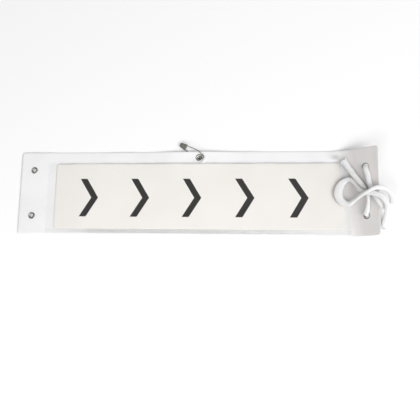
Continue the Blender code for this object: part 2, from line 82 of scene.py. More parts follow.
# Eyelets and punched holes
EYELET_HOLE_RADIUS = 0.0020
EYELET_WALL = 0.0004
EYELET_FLANGE_RADIUS = 0.0037
EYELET_FRONT_THICKNESS = 0.0005
EYELET_BACK_THICKNESS = 0.0004
EYELET_LIP_BREADTH = 1.6 * EYELET_FRONT_THICKNESS
EYELET_FRONT_UNDERCUT = 0.3 * EYELET_FRONT_THICKNESS
EYELET_BACK_INSET = 1.1 * EYELET_BACK_THICKNESS
EYELET_STEPS = 64
EYELET_ROLL_STEPS = 8
EYELET_BACK_STEPS = 6
EYELET_FOOT_STEPS = 4
END_EYELET_INSET = 0.015
END_EYELET_SPACING = 0.050
TOP_EYELET_ALONG = BAND_LENGTH / 2 + 0.0023
TOP_EYELET_ACROSS = BAND_WIDTH / 2 - 0.0066
CORD_HOLE_RADIUS = 0.0032
CORD_HOLE_ALONG = BAND_LENGTH - 0.015
CORD_HOLE_SPACING = 0.0490
CORD_HOLE_OFFSET = 0.0006

# Safety pin, ahead of its coil towards its cap and aside towards its rear arm
PIN_WIRE_DIAMETER = 0.0009
PIN_ANGLE = math.radians(28.3)
PIN_LENGTH = 0.0243
PIN_COIL_RADIUS = 0.0023
PIN_COIL_TURNS = 1.5
PIN_COIL_BACK = 0.0028
PIN_COIL_ASIDE = 0.0016
PIN_BOW_AHEAD = 0.0064
PIN_BOW_ASIDE = 0.0041
PIN_CAP_ASIDE = -0.0014
PIN_CAP_LENGTH = 0.0076
PIN_CAP_WIDTH = 0.0072
PIN_CAP_END_WIDTH = 0.0046
PIN_CAP_THICKNESS = 0.0021
PIN_CAP_WALL = 0.0003
PIN_CAP_TILT = math.radians(30)
WIRE_SIDES = 14
WIRE_STEPS = 8
COIL_STEPS_PER_TURN = 12

# The rear arm's way down through the top eyelet: places ahead of its middle in hole radii, and
# heights above its middle as shares of half the drop
PinStep = namedtuple("PinStep", "ahead height")
PIN_DESCENT = (
    PinStep(ahead=-0.75, height=0.93),
    PinStep(ahead=-0.35, height=0.55),
    PinStep(ahead=0.0, height=0.0),
    PinStep(ahead=0.35, height=-0.55),
)

# Where the rear arm comes down and where it lies flat, ahead of the hole's middle in hole radii
REAR_ARM_LANDS = 0.80
REAR_ARM_FLAT = 1.60

# The folded cap: its rounded end, the lip round its mouth, how flat its section is, how deep its
# very end stays as a share, and how far its inside is set back
PIN_CAP_ROUNDING = 0.0010
PIN_CAP_SINK = 0.0001
PIN_CAP_LIP = 0.00012
CAP_FLATNESS = 0.6
CAP_SIDES = 40
CAP_SPANS = 12
CAP_END_SPANS = 5
CAP_END_SHARE = 0.02
CAP_END_DEPTH = 0.25
CAP_INSIDE_SHIFT = 0.6 * PIN_CAP_WALL

# Rises of the strap over the eyelets' backs and over the pin's rear arm
END_RISE = EYELET_BACK_THICKNESS + CLEARANCE
END_RISE_RUN = 0.030
PIN_RISE_REACH = 0.055
PIN_RISE_DEPTH = 0.030
PIN_RISE_ALONG = TOP_EYELET_ALONG - 0.0043
REAR_ARM_HEIGHT = PIN_WIRE_DIAMETER / 2 + CLEARANCE / 6
TOP_EYELET_RISE = REAR_ARM_HEIGHT + PIN_WIRE_DIAMETER / 2 + CLEARANCE / 2 + END_RISE
PIN_RISE = TOP_EYELET_RISE / (1 - (BAND_WIDTH / 2 - TOP_EYELET_ACROSS) / PIN_RISE_DEPTH) ** 2

# Soft puckers of the vinyl: places and reaches in shares of the strap's length and width
PUCKER_RISE = 0.0010
Pucker = namedtuple("Pucker", "along across rise reach_along reach_across")
PUCKERS = (
    Pucker(along=0.868, across=0.935, rise=1.00, reach_along=0.090, reach_across=0.075),
    Pucker(along=0.905, across=0.060, rise=0.55, reach_along=0.140, reach_across=0.110),
    Pucker(along=0.640, across=0.985, rise=0.60, reach_along=0.300, reach_across=0.120),
    Pucker(along=0.290, across=0.990, rise=0.45, reach_along=0.260, reach_across=0.110),
)

# Painted shade of a small dent near the cord's end, and the ridge drawn up under the top eyelet
DENT_SHADE_ALONG = 0.3410
DENT_SHADE_ACROSS = 0.0385
DENT_SHADE_LENGTH = 0.0075
DENT_SHADE_WIDTH = 0.0040
DENT_SHADE_SHARE = 0.62
DENT_SHADE_STRAY = 0.5
RIDGE_RADIUS = 0.0060
RIDGE_WIDTH = 0.0018

# Painted shade on the strap: darker from where its end begins to bend, a painted dark line of shade
# along its edges, and painted dark crescents of shade round the cord's holes, on their sides away
# from each other. A share says how much of a tone is laid on at most, and a stray how far the noise
# shifts its edge
CURL_SHADE_FROM = 0.344
CURL_SHADE_FULL = 0.362
CURL_SHADE_SHARE = 0.26
CURL_SHADE_STRAY = 0.012
EDGE_SHADE_START = 0.0002
EDGE_SHADE_WIDTH = 0.0016
EDGE_SHADE_BEYOND_SIDES = 0.0008
EDGE_SHADE_SHARE = 0.20
EDGE_SHADE_STRAY = 0.002
HOLE_SHADE_START = 0.0003
HOLE_SHADE_WIDTH = 0.0011
HOLE_SHADE_SIDE_FROM = -0.0022
HOLE_SHADE_SIDE_FULL = 0.0012
HOLE_SHADE_STRAY = 0.0003

# The vinyl's roughness and what its noise adds to it, and the creases drawn towards the cord:
# how close they lie, how they slant, and where they begin
VINYL_ROUGHNESS = 0.36
VINYL_ROUGHER = 0.10
CREASES_ALONG = 150
CREASES_ACROSS = 18
CREASE_SLANT = 25
CREASE_FROM = BAND_LENGTH * 0.80
CREASE_FULL = BAND_LENGTH * 0.92

# Painted shade on the card: falling off away from its middle, towards its top, along its edges, and a
# shadow line at its top
LIGHT_FALLOFF_FROM = 0.085
LIGHT_FALLOFF_FULL = 0.165
LIGHT_FALLOFF_SHARE = 0.32
LIGHT_FALLOFF_STRAY = 0.02
SHADED_SHARE = 0.16
CARD_EDGE_SHADE_WIDTH = 0.0011
CARD_EDGE_SHADE_SHARE = 0.15
CARD_EDGE_SHADE_STRAY = 0.0008
CARD_TOP_SHADOW_START = 0.0005
CARD_TOP_SHADOW_WIDTH = 0.0013
CARD_TOP_SHADOW_SHARE = 0.55
CARD_TOP_SHADOW_FAINT = 0.35
CARD_ROUGHNESS = 0.62
INK_SMOOTHER = 0.12
INK_STRAY = 0.0003

# The window: the painted shadow line along its mouth, its welds, and the haze along its lower weld. A
# film is a share of its grey that shows
WINDOW_FILM = 0.022
WINDOW_ROUGHNESS = 0.12
MOUTH_SHADOW_WIDTH = 0.0010
MOUTH_SHADOW_START = INSERT_LEFT + 0.002
MOUTH_SHADOW_FULL = INSERT_LEFT + 0.02
MOUTH_SHADOW_FAINT = 0.35
MOUTH_SHADOW_PATCHES = 0.9
MOUTH_SHADOW_FILM = 0.06
WELD_START = -0.0002
WELD_FULL = 0.0008
WELD_STRAY = 0.001
WELD_ROUGHER = 0.25
HAZE_LEAST = 0.02
HAZE_MORE = 0.19
HAZE_STRAY = 0.03
HAZE_LOSS = 0.65
HAZE_FROM = 0.05
HAZE_FULL = 0.12
HAZE_FADES = 0.28
HAZE_FADED = 0.33

# Spacing of the sheets' points and rounding of their cut edges
SHEET_STEP = 0.0020
RIM_SPACING = 0.45 * SHEET_STEP
CORNER_STEPS = 8
HOLE_STEPS = 40
EDGE_ROUNDING = 0.00035
EDGE_STEPS = 6
MERGE_DISTANCE = 1e-7
HOLE_MARGIN = 0.98

# The cord's centre line, in metres from the strap's middle, from the end that lies on the
# strap to the end on the ground
CORD_DIAMETER = 0.0048
CORD_POINTS = 760
ROUTE_STEPS = 24
CORD_ROUTE = (
    (0.1540, 0.0330, 0.0082),
    (0.1629, 0.0196, 0.0109),
    (0.1774, -0.0020, 0.0161),
    (0.1780, -0.0180, 0.0155),
    (0.1765, -0.0224, 0.0130),
    (0.1779, -0.0239, 0.0092),
    (0.1802, -0.0214, 0.0058),
    (0.1808, -0.0120, 0.0057),
    (0.1800, 0.0060, 0.0080),
    (0.1792, 0.0206, 0.0100),
    (0.1762, 0.0250, 0.0149),
    (0.1756, 0.0230, 0.0188),
    (0.1778, 0.0162, 0.0194),
    (0.1798, 0.0068, 0.0196),
    (0.1834, -0.0024, 0.0201),
    (0.1886, -0.0114, 0.0222),
    (0.1954, -0.0172, 0.0192),
    (0.2014, -0.0138, 0.0170),
    (0.2020, -0.0060, 0.0184),
    (0.1974, -0.0006, 0.0218),
    (0.1902, 0.0015, 0.0258),
    (0.1832, -0.0002, 0.0292),
    (0.1780, -0.0032, 0.0289),
    (0.1718, -0.0058, 0.0232),
    (0.1658, -0.0088, 0.0128),
    (0.1594, -0.0120, 0.0068),
    (0.1520, -0.0086, 0.0052),
    (0.1490, -0.0004, 0.0052),
    (0.1522, 0.0092, 0.0057),
    (0.1594, 0.0132, 0.0086),
    (0.1650, 0.0084, 0.0120),
    (0.1696, 0.0012, 0.0170),
    (0.1756, -0.0028, 0.0208),
    (0.1840, -0.0048, 0.0264),
    (0.1912, -0.0078, 0.0274),
    (0.1960, -0.0140, 0.0260),
    (0.1969, -0.0208, 0.0230),
    (0.1962, -0.0262, 0.0100),
    (0.1952, -0.0306, 0.0033),
    (0.1938, -0.0360, 0.0027),
)

# The soft cord's breadth and depth where it passes the route's points, counted from 0: flat and
# wide in its left loop, thin in the holes and in the knot, and open at its cut ends
Section = namedtuple("Section", "point half_breadth half_depth")
CORD_SECTIONS = (
    Section(point=0.00, half_breadth=0.0036, half_depth=0.0022),
    Section(point=0.12, half_breadth=0.0034, half_depth=0.0023),
    Section(point=0.30, half_breadth=0.0029, half_depth=0.0023),
    Section(point=1.50, half_breadth=0.0028, half_depth=0.0022),
    Section(point=2.00, half_breadth=0.0021, half_depth=0.0022),
    Section(point=2.50, half_breadth=0.0020, half_depth=0.0022),
    Section(point=3.00, half_breadth=0.0024, half_depth=0.0021),
    Section(point=4.00, half_breadth=0.0028, half_depth=0.0019),
    Section(point=5.00, half_breadth=0.0018, half_depth=0.0018),
    Section(point=6.50, half_breadth=0.0024, half_depth=0.0021),
    Section(point=9.00, half_breadth=0.0023, half_depth=0.0021),
    Section(point=10.00, half_breadth=0.0018, half_depth=0.0018),
    Section(point=11.20, half_breadth=0.0028, half_depth=0.0020),
    Section(point=13.00, half_breadth=0.0028, half_depth=0.0021),
    Section(point=14.00, half_breadth=0.0023, half_depth=0.0022),
    Section(point=15.50, half_breadth=0.0030, half_depth=0.0021),
    Section(point=18.00, half_breadth=0.0031, half_depth=0.0021),
    Section(point=20.00, half_breadth=0.0026, half_depth=0.0022),
    Section(point=21.50, half_breadth=0.0020, half_depth=0.0022),
    Section(point=23.50, half_breadth=0.0020, half_depth=0.0022),
    Section(point=25.30, half_breadth=0.0027, half_depth=0.0020),
    Section(point=27.00, half_breadth=0.0048, half_depth=0.0018),
    Section(point=27.80, half_breadth=0.0041, half_depth=0.0018),
    Section(point=28.80, half_breadth=0.0024, half_depth=0.0020),
    Section(point=30.00, half_breadth=0.0021, half_depth=0.0022),
    Section(point=32.00, half_breadth=0.0021, half_depth=0.0022),
    Section(point=34.00, half_breadth=0.0029, half_depth=0.0021),
    Section(point=37.00, half_breadth=0.0027, half_depth=0.0022),
    Section(point=38.60, half_breadth=0.0029, half_depth=0.0019),
    Section(point=39.00, half_breadth=0.0033, half_depth=0.0019),
)
CORD_EASE = 0.06
CORD_SOFTENING = 5

# Frayed fibres at the cord's cut ends
FIBRES_PER_STRAND = 9
FIBRE_LENGTH = 0.0016
FIBRE_RADIUS = 0.000045
FIBRE_SPREAD = 0.36
FIBRE_SEED = 7

# A fibre's form as shares of its length: how high the two handles of its curve stand, and how
# far the upper one and the tip stand aside. The shortest fibre is a share of the longest
FIBRE_LOW_HANDLE = 0.4
FIBRE_HIGH_HANDLE = 0.8
FIBRE_HANDLE_ASIDE = 0.1
FIBRE_TIP_ASIDE = 0.4
FIBRE_SHORTEST = 0.4

# Braid of the cord
BRAID_STRANDS = 16
BRAID_LAY = 0.016
BRAID_RIPPLE = 0.00020
STRAND_BREADTH = 0.00120
STRAND_DEPTH = 0.00062
STRAND_STEP = 0.00075
STRAND_SIDES = 8
CORE_STEPS = 14

# Printed marks on the card
MARK_ALONG = 0.1895
MARK_ACROSS = -0.0050
MARK_PITCH = 0.0563
MARK_COUNT = 5
MARK_SLANT = 0.62
MARK_TIP = 0.0075
MARK_HALF_STROKE = 0.0036
MARK_HALF_HEIGHT = 0.0205
MARK_EDGE = 0.0004
MARK_ROW_EDGE = 0.001

# Colours of the finishes. A pair holds the two tones that a surface is mottled with
VINYL_TONES = ((0.80, 0.80, 0.80, 1), (0.75, 0.75, 0.755, 1))
# Tones of painted shade on the strap: on its bent end, along its edges, at a dent and round the
# cord's holes
VINYL_CURL_SHADE = (0.44, 0.36, 0.31, 1)
VINYL_EDGE_SHADE = (0.50, 0.49, 0.47, 1)
DENT_SHADE_GREY = (0.42, 0.41, 0.40, 1)
HOLE_SHADE = (0.025, 0.022, 0.018, 1)
CARD_TONES = ((0.825, 0.801, 0.762, 1), (0.80, 0.776, 0.739, 1))
# Tones of painted shade and of a painted shadow line on the card
CARD_SHADED = (0.68, 0.66, 0.625, 1)
CARD_EDGE_SHADE = (0.50, 0.47, 0.42, 1)
CARD_TOP_SHADOW = (0.42, 0.40, 0.36, 1)
INK = (0.020, 0.018, 0.017, 1)
WINDOW_CLEAR = (1, 1, 1, 1)
# Tone of the painted shadow along the window's mouth
WINDOW_MOUTH_SHADOW = (0.16, 0.16, 0.155, 1)
YARN_TONES = ((0.735, 0.735, 0.745, 1), (0.80, 0.795, 0.79, 1))
YARN_DULL = (0.73, 0.725, 0.72, 1)
TARNISH = (0.05, 0.046, 0.04, 1)
FLOOR_TONES = ((0.86, 0.86, 0.86, 1), (0.87, 0.87, 0.87, 1))

# Plated metals: their grain is the noise scale of their dull patches, and an eyelet's hole holds
# tarnish
Plating = namedtuple("Plating", "name bright dull roughness grain")
NICKEL = Plating("nickel", (0.60, 0.58, 0.54, 1), (0.36, 0.345, 0.31, 1), 0.16, 300)
PIN_STEEL = Plating("pin steel", (0.34, 0.34, 0.32, 1), (0.22, 0.21, 0.19, 1), 0.26, 260)
PIN_CAP_STEEL = Plating("pin cap steel", (0.30, 0.29, 0.25, 1), (0.18, 0.17, 0.145, 1), 0.30, 260)

PATCH_ROUGHER = 0.16
SCRATCH_FINENESS = 14
TARNISH_FROM = EYELET_HOLE_RADIUS - 0.0001
TARNISH_TO = EYELET_HOLE_RADIUS + 0.0002
TARNISH_STRAY = 0.0003
TARNISH_ROUGHER = 0.25

# Yarn: its fibres' fineness along and around a strand, how far the next strand's are shifted,
# and the share of its dull tone
YARN_FINE_ALONG = 900
YARN_FINE_AROUND = 26
YARN_SHIFT = 3.7
YARN_DULL_SHARE = 0.4

# Camera
CAMERA_AIM = (0.01546, -0.01796, 0.0010)
CAMERA_DISTANCE = 0.84358
CAMERA_AZIMUTH = math.radians(39.19)
CAMERA_ELEVATION = math.radians(77.0)
CAMERA_ROLL = math.radians(-38.21)
CAMERA_LENS = 68.57
CAMERA_SENSOR = 36.0
CAMERA_NEAR = 0.01
CAMERA_FAR = 20

# Floor and lights
FLOOR_REACH = 20.0
Lamp = namedtuple("Lamp", "name place size power")
LAMPS = (
    Lamp(name="key", place=(1.72, -1.05, 2.50), size=2.6, power=76),
    Lamp(name="near", place=(-0.12, -0.70, 0.75), size=0.6, power=2.6),
)

# Surroundings: a bright ring, brighter towards the key light, and a pale horizon. Heights are the
# upward parts of directions
RING_FROM = 0.30
RING_FULL = 0.72
RING_FADES = 0.76
RING_FADED = 0.99
KEY_EAST = 0.86
KEY_NORTH = -0.51
HORIZON_FADES = 0.10
HORIZON_FADED = 0.40
SKY_STRENGTH = 0.16
RING_STRENGTH = 0.65
KEY_STRENGTH = 0.74
HORIZON_STRENGTH = 0.50


def box_middle(node):
    low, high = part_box(node)
    return (low + high) / 2


eyelets_middle = (box_middle("eyelet_left_upper") + box_middle("eyelet_left_lower")) / 2
strap_middle = Vector((eyelets_middle.x + BAND_LENGTH / 2 - END_EYELET_INSET, eyelets_middle.y, 0))


def place_camera():
    """The photo's view of the armband, from above and a little to the right."""
    flat = math.cos(CAMERA_ELEVATION)
    aside, ahead = math.sin(CAMERA_AZIMUTH), math.cos(CAMERA_AZIMUTH)
    back = Vector((aside * flat, -ahead * flat, math.sin(CAMERA_ELEVATION)))
    right = Vector((ahead, aside, 0))
    up = back.cross(right)
    right = right * math.cos(CAMERA_ROLL) + up * math.sin(CAMERA_ROLL)
    up = back.cross(right)
    lens = bpy.data.cameras.new("camera")
    lens.lens = CAMERA_LENS
    lens.sensor_width = CAMERA_SENSOR
    lens.clip_start = CAMERA_NEAR
    lens.clip_end = CAMERA_FAR
    camera = bpy.data.objects.new("camera", lens)
    turn = Matrix((right, up, back)).transposed().to_4x4()
    aim = Vector(CAMERA_AIM) + strap_middle
    camera.matrix_world = Matrix.Translation(aim + CAMERA_DISTANCE * back) @ turn
    bpy.context.scene.collection.objects.link(camera)
    bpy.context.scene.camera = camera


class Value:
    """One output of a node, so that sums on it can be written as Python expressions."""

    def __init__(self, graph, socket):
        self.graph = graph
        self.socket = socket

    def other(self, name):
        """Another output of the same node."""
        return Value(self.graph, self.socket.node.outputs[name])

    def __add__(self, other):
        return self.graph.maths("ADD", self, other)

    def __radd__(self, other):
        return self.graph.maths("ADD", other, self)

    def __sub__(self, other):
        return self.graph.maths("SUBTRACT", self, other)

    def __rsub__(self, other):
        return self.graph.maths("SUBTRACT", other, self)

    def __mul__(self, other):
        return self.graph.maths("MULTIPLY", self, other)

    def __rmul__(self, other):
        return self.graph.maths("MULTIPLY", other, self)

    def __truediv__(self, other):
        return self.graph.maths("DIVIDE", self, other)

    def __rtruediv__(self, other):
        return self.graph.maths("DIVIDE", other, self)

    def __abs__(self):
        return self.graph.maths("ABSOLUTE", self)


class Graph:
    """A node tree, for a finish or for a shape."""

    def __init__(self, tree):
        self.tree = tree

    def node(self, kind, settings=None, sockets=None, output=0):
        """A node with its settings made first, then its sockets' values or links."""
        node = self.tree.nodes.new(kind)
        for name, setting in (settings or {}).items():
            setattr(node, name, setting)
        for name, value in (sockets or {}).items():
            if isinstance(value, Value):
                self.tree.links.new(value.socket, node.inputs[name])
            else:
                node.inputs[name].default_value = value
        return Value(self, node.outputs[output])

    def maths(self, operation, *values):
        return self.node("ShaderNodeMath", {"operation": operation}, dict(enumerate(values)))

    def vectors(self, operation, *values):
        return self.node("ShaderNodeVectorMath", {"operation": operation}, dict(enumerate(values)))

    def scaled(self, vector, scale):
        settings = {"operation": "SCALE"}
        return self.node("ShaderNodeVectorMath", settings, {0: vector, "Scale": scale})

    def vector(self, x, y, z):
        return self.node("ShaderNodeCombineXYZ", None, {0: x, 1: y, 2: z})

    def parts(self, vector):
        split = self.node("ShaderNodeSeparateXYZ", None, {0: vector})
        return [split.other(i) for i in range(3)]

    def reach(self, aside, beside):
        """The distance that two square offsets make."""
        return self.maths("SQRT", aside * aside + beside * beside)

    def ramp(self, value, low, high, smooth=True):
        """0 at low and 1 at high, with a soft or straight run between."""
        settings = {"interpolation_type": "SMOOTHSTEP" if smooth else "LINEAR"}
        sockets = {"Value": value, "From Min": low, "From Max": high}
        return self.node("ShaderNodeMapRange", settings, sockets)

    def blend(self, share, first, second):
        """A colour between two."""
        settings = {"data_type": "RGBA"}
        return self.node("ShaderNodeMix", settings, {0: share, 6: first, 7: second}, 2)


class Finish(Graph):
    """A procedural material on one Principled shader."""

    def __init__(self, name):
        self.material = bpy.data.materials.new(name)
        self.material.use_nodes = True
        super().__init__(self.material.node_tree)
        self.shader = self.tree.nodes["Principled BSDF"]

    def give(self, **sockets):
        """The material, with values or links on its shader's sockets."""
        for name, value in sockets.items():
            socket = self.shader.inputs[name.replace("_", " ")]
            if isinstance(value, Value):
                self.tree.links.new(value.socket, socket)
            else:
                socket.default_value = value
        return self.material

    def place(self):
        return self.node("ShaderNodeTexCoord", None, None, "Object")

    def own(self, name, vector=False):
        """A value or a vector that the piece's own points carry."""
        settings = {"attribute_type": "GEOMETRY", "attribute_name": name}
        return self.node("ShaderNodeAttribute", settings, None, "Vector" if vector else "Fac")

    def noise(self, where, scale, detail=3):
        sockets = {"Vector": where, "Scale": scale, "Detail": detail}
        return self.node("ShaderNodeTexNoise", None, sockets)

    def mottled(self, noise, low, high, tones):
        """A colour that wanders between two tones as a noise does."""
        return self.blend(self.ramp(noise, low, high), *tones)

    def bump(self, height, strength, distance, under=None):
        """A bumped normal, over the one under it."""
        sockets = {"Height": height, "Strength": strength, "Distance": distance}
        if under is not None:
            sockets["Normal"] = under
        return self.node("ShaderNodeBump", None, sockets)


class Shape(Graph):
    """A Geometry Nodes tree with named inputs, which makes one plain mesh."""

    def __init__(self, name):
        super().__init__(bpy.data.node_groups.new(name, "GeometryNodeTree"))
        self.enter = self.tree.nodes.new("NodeGroupInput")
        self.leave = self.tree.nodes.new("NodeGroupOutput")
        self.sizes = {}
        for way in ("INPUT", "OUTPUT"):
            self.tree.interface.new_socket(
                name="Geometry", in_out=way, socket_type="NodeSocketGeometry"
            )

    def start(self):
        return Value(self, self.enter.outputs["Geometry"])

    def size(self, name, value, kind="NodeSocketFloat"):
        """A named input of the tree, with the value that it gets."""
        item = self.tree.interface.new_socket(name=name, in_out="INPUT", socket_type=kind)
        self.sizes[item.identifier] = value
        return Value(self, self.enter.outputs[name])

    def count(self, name, value):
        return self.size(name, value, "NodeSocketInt")

    def ring(self, steps, radius):
        sockets = {"Resolution": steps, "Radius": radius}
        return self.node("GeometryNodeCurvePrimitiveCircle", None, sockets)

    def swept(self, line, section, scale=1.0, capped=True):
        """A section drawn along a line."""
        sockets = {"Curve": line, "Profile Curve": section, "Scale": scale, "Fill Caps": capped}
        return self.node("GeometryNodeCurveToMesh", None, sockets)

    def stored(self, geometry, name, value, vector=False, domain="POINT"):
        """The geometry with a value or a vector stored on it by name."""
        settings = {"data_type": "FLOAT_VECTOR" if vector else "FLOAT", "domain": domain}
        sockets = {"Geometry": geometry, "Name": name, "Value": value}
        return self.node("GeometryNodeStoreNamedAttribute", settings, sockets)

    def carried(self, name, vector=False):
        """A value or a vector that the geometry carries by name."""
        settings = {"data_type": "FLOAT_VECTOR" if vector else "FLOAT"}
        return self.node("GeometryNodeInputNamedAttribute", settings, {"Name": name})

    def end(self, geometry, material):
        """Smooth shading, one plain mesh and its material, as the tree's last steps."""
        finish = self.size("Finish", material, "NodeSocketMaterial")
        smooth = self.node("GeometryNodeSetShadeSmooth", None, {"Geometry": geometry})
        plain = self.node("GeometryNodeRealizeInstances", None, {"Geometry": smooth})
        done = self.node("GeometryNodeSetMaterial", None, {"Geometry": plain, "Material": finish})
        self.tree.links.new(done.socket, self.leave.inputs["Geometry"])

    def make(self, name, start_mesh):
        """The tree's result on a mesh, as a plain mesh of its own."""
        rough = bpy.data.objects.new(name + "_start", start_mesh)
        bpy.context.scene.collection.objects.link(rough)
        modifier = rough.modifiers.new("shape", "NODES")
        modifier.node_group = self.tree
        for identifier, value in self.sizes.items():
            modifier[identifier] = value
        bpy.context.view_layer.update()
        graph = bpy.context.evaluated_depsgraph_get()
        mesh = bpy.data.meshes.new_from_object(rough.evaluated_get(graph), depsgraph=graph)
        mesh.name = name
        bpy.data.objects.remove(rough, do_unlink=True)
        return mesh


def smooth_step(value):
    value = np.clip(value, 0.0, 1.0)
    return value * value * (3 - 2 * value)


def bell(value):
    return np.maximum(1 - value * value, 0.0) ** 2


def strap_rise(along, across):
    """How far the strap's underside is lifted by what lies under it and by its puckers."""
    from_eyelets = along - END_EYELET_INSET - EYELET_FLANGE_RADIUS
    rise = END_RISE * (1 - smooth_step(from_eyelets / END_RISE_RUN))
    depth = 1 + (across - BAND_WIDTH / 2) / PIN_RISE_DEPTH
    from_pin = (along - PIN_RISE_ALONG) / PIN_RISE_REACH
    rise = rise + PIN_RISE * bell(from_pin) * np.maximum(depth, 0.0) ** 2
    for pucker in PUCKERS:
        aside = (along - pucker.along * BAND_LENGTH) / (pucker.reach_along * BAND_WIDTH)
        beyond = across - (pucker.across - 0.5) * BAND_WIDTH
        beyond = beyond / (pucker.reach_across * BAND_WIDTH)
        rise = rise + PUCKER_RISE * pucker.rise * bell(aside) * bell(beyond)
    return rise


def underside(along, across):
    """Points of the strap's underside: flat, then round the bend, then up the slope."""
    share = across / BAND_WIDTH + 0.5
    start = BAND_LENGTH - CURL_START_LOWER - (CURL_START_UPPER - CURL_START_LOWER) * share
    radius = CURL_BEND_LENGTH / CURL_ANGLE
    turned = np.clip((along - start) / CURL_BEND_LENGTH, 0.0, 1.0) * CURL_ANGLE
    beyond = np.maximum(along - start - CURL_BEND_LENGTH, 0.0)
    x = np.minimum(along, start) + radius * np.sin(turned) + beyond * math.cos(CURL_ANGLE)
    z = radius * (1 - np.cos(turned)) + beyond * math.sin(CURL_ANGLE)
    x = x - BAND_LENGTH / 2 + strap_middle.x
    y = across + strap_middle.y + 0 * along
    return np.stack([x, y, z + strap_rise(along, across)], axis=-1)


def strap_normal(along, across):
    reach = CLEARANCE
    east = underside(along + reach, across) - underside(along - reach, across)
    north = underside(along, across + reach) - underside(along, across - reach)
    normal = np.cross(east, north)
    return normal / np.linalg.norm(normal, axis=-1, keepdims=True)


def strap_points(along, across, height):
    """Points at heights above the strap's underside, measured square to it."""
    return underside(along, across) + height[..., None] * strap_normal(along, across)


def strap_frame(along, across):
    """The place and turn of what stands square on the strap's underside."""
    up = Vector(strap_normal(along, across))
    foot = Vector(underside(along, across))
    east = (Vector(underside(along + CLEARANCE, across)) - foot).normalized()
    north = up.cross(east).normalized()
    east = north.cross(up)
    turn = Matrix((east, north, up)).transposed().to_4x4()
    return Matrix.Translation(foot) @ turn


def arc(middle, radii, first, last, steps):
    """Points on part of an ellipse, from one angle in degrees to another."""
    turns = [math.radians(first + (last - first) * i / steps) for i in range(steps + 1)]
    return [(middle[0] + radii[0] * math.cos(a), middle[1] + radii[1] * math.sin(a)) for a in turns]


def rounded_outline(left, right, low, high, radius, inset):
    """Evenly spaced points round a sheet's outline, moved inwards by an inset."""
    left, right, low, high = left + inset, right - inset, low + inset, high - inset
    radius = radius - inset
    corners = (
        (right - radius, low + radius, -90),
        (right - radius, high - radius, 0),
        (left + radius, high - radius, 90),
        (left + radius, low + radius, 180),
    )
    bends = [
        arc((along, across), (radius, radius), turn, turn + 90, CORNER_STEPS)
        for along, across, turn in corners
    ]
    outline = []
    for bend, following in zip(bends, bends[1:] + bends[:1]):
        start, end = Vector(bend[-1]), Vector(following[0])
        spans = round((end - start).length / SHEET_STEP)
        outline += bend + [tuple(start.lerp(end, i / spans)) for i in range(1, spans)]
    return np.array(outline)


def round_hole(along, across, radius, inset):
    angles = np.linspace(0, 2 * math.pi, HOLE_STEPS, endpoint=False)
    reach = radius + inset
    return np.stack([along + reach * np.cos(angles), across - reach * np.sin(angles)], axis=-1)


def flat_sheet(loops):
    """The points and triangles of a flat sheet with holes. Its loops' points come first."""
    points, edges = [], []
    for loop in loops:
        first, count = len(points), len(loop)
        points += [tuple(p) for p in loop]
        edges += [(first + i, first + (i + 1) % count) for i in range(count)]
    rims = np.array(points)
    left, low = loops[0].min(axis=0)
    right, high = loops[0].max(axis=0)
    rows = np.linspace(low, high, round((high - low) / SHEET_STEP) + 1)[1:-1]
    for column in np.arange(left + SHEET_STEP, right - SHEET_STEP / 2, SHEET_STEP):
        for row in rows:
            if np.hypot(*(rims - (column, row)).T).min() >= RIM_SPACING:
                points.append((column, row))

    made = delaunay_2d_cdt([Vector(p) for p in points], edges, [], 1, MERGE_DISTANCE)
    flat = np.array([tuple(p) for p in made[0]])
    holes = [(loop.mean(axis=0), np.ptp(loop[:, 0]) / 2) for loop in loops[1:]]
    faces = []
    for face in made[2]:
        centre = flat[list(face)].mean(axis=0)
        if all(np.hypot(*(centre - middle)) > radius * HOLE_MARGIN for middle, radius in holes):
            faces.append(tuple(face))
    return flat, faces


def lay_sheet(name, loops, thickness, rounding, height_at, place_along):
    """A sheet on the strap: both faces, and rounded walls round its outline and its holes."""
    flat_loops = [loop(rounding) for loop in loops]
    flat, faces = flat_sheet(flat_loops)
    count = len(flat)
    low = height_at(flat[:, 0], flat[:, 1])
    places = [np.column_stack([flat, low + thickness]), np.column_stack([flat, low])]
    solid = faces + [tuple(count + i for i in reversed(face)) for face in faces]

    start, filled = 0, 2 * count
    for loop, size in zip(loops, map(len, flat_loops)):
        rings = [range(start, start + size)]
        for step in range(1, EDGE_STEPS):
            angle = math.pi / 2 - math.pi * step / EDGE_STEPS
            ring = loop(rounding * (1 - math.cos(angle)))
            height = height_at(ring[:, 0], ring[:, 1]) + thickness / 2 * (1 + math.sin(angle))
            places.append(np.column_stack([ring, height]))
            rings.append(range(filled, filled + size))
            filled += size
        rings.append(range(count + start, count + start + size))
        for upper, lower in zip(rings, rings[1:]):
            for i in range(size):
                j = (i + 1) % size
                solid.append((upper[i], lower[i], lower[j], upper[j]))
        start += size

    places = np.concatenate(places)
    along = place_along(places[:, 0], places[:, 1])
    mesh = bpy.data.meshes.new(name)
    mesh.from_pydata(strap_points(along, places[:, 1], places[:, 2]), [], solid)
    lay = mesh.attributes.new("lay", "FLOAT_VECTOR", "POINT")
    lay.data.foreach_set("vector", places.ravel())
    mesh.shade_smooth()
    return mesh


def skewed(along, across):
    """Places along the card and the window, whose right edges lean a little."""
    half = (INSERT_LEFT + INSERT_RIGHT) / 2
    share = np.clip((along - half) / (INSERT_RIGHT - half), 0.0, 1.0)
    return along - INSERT_RIGHT_SKEW * across / (INSERT_HIGH - INSERT_LOW) * share


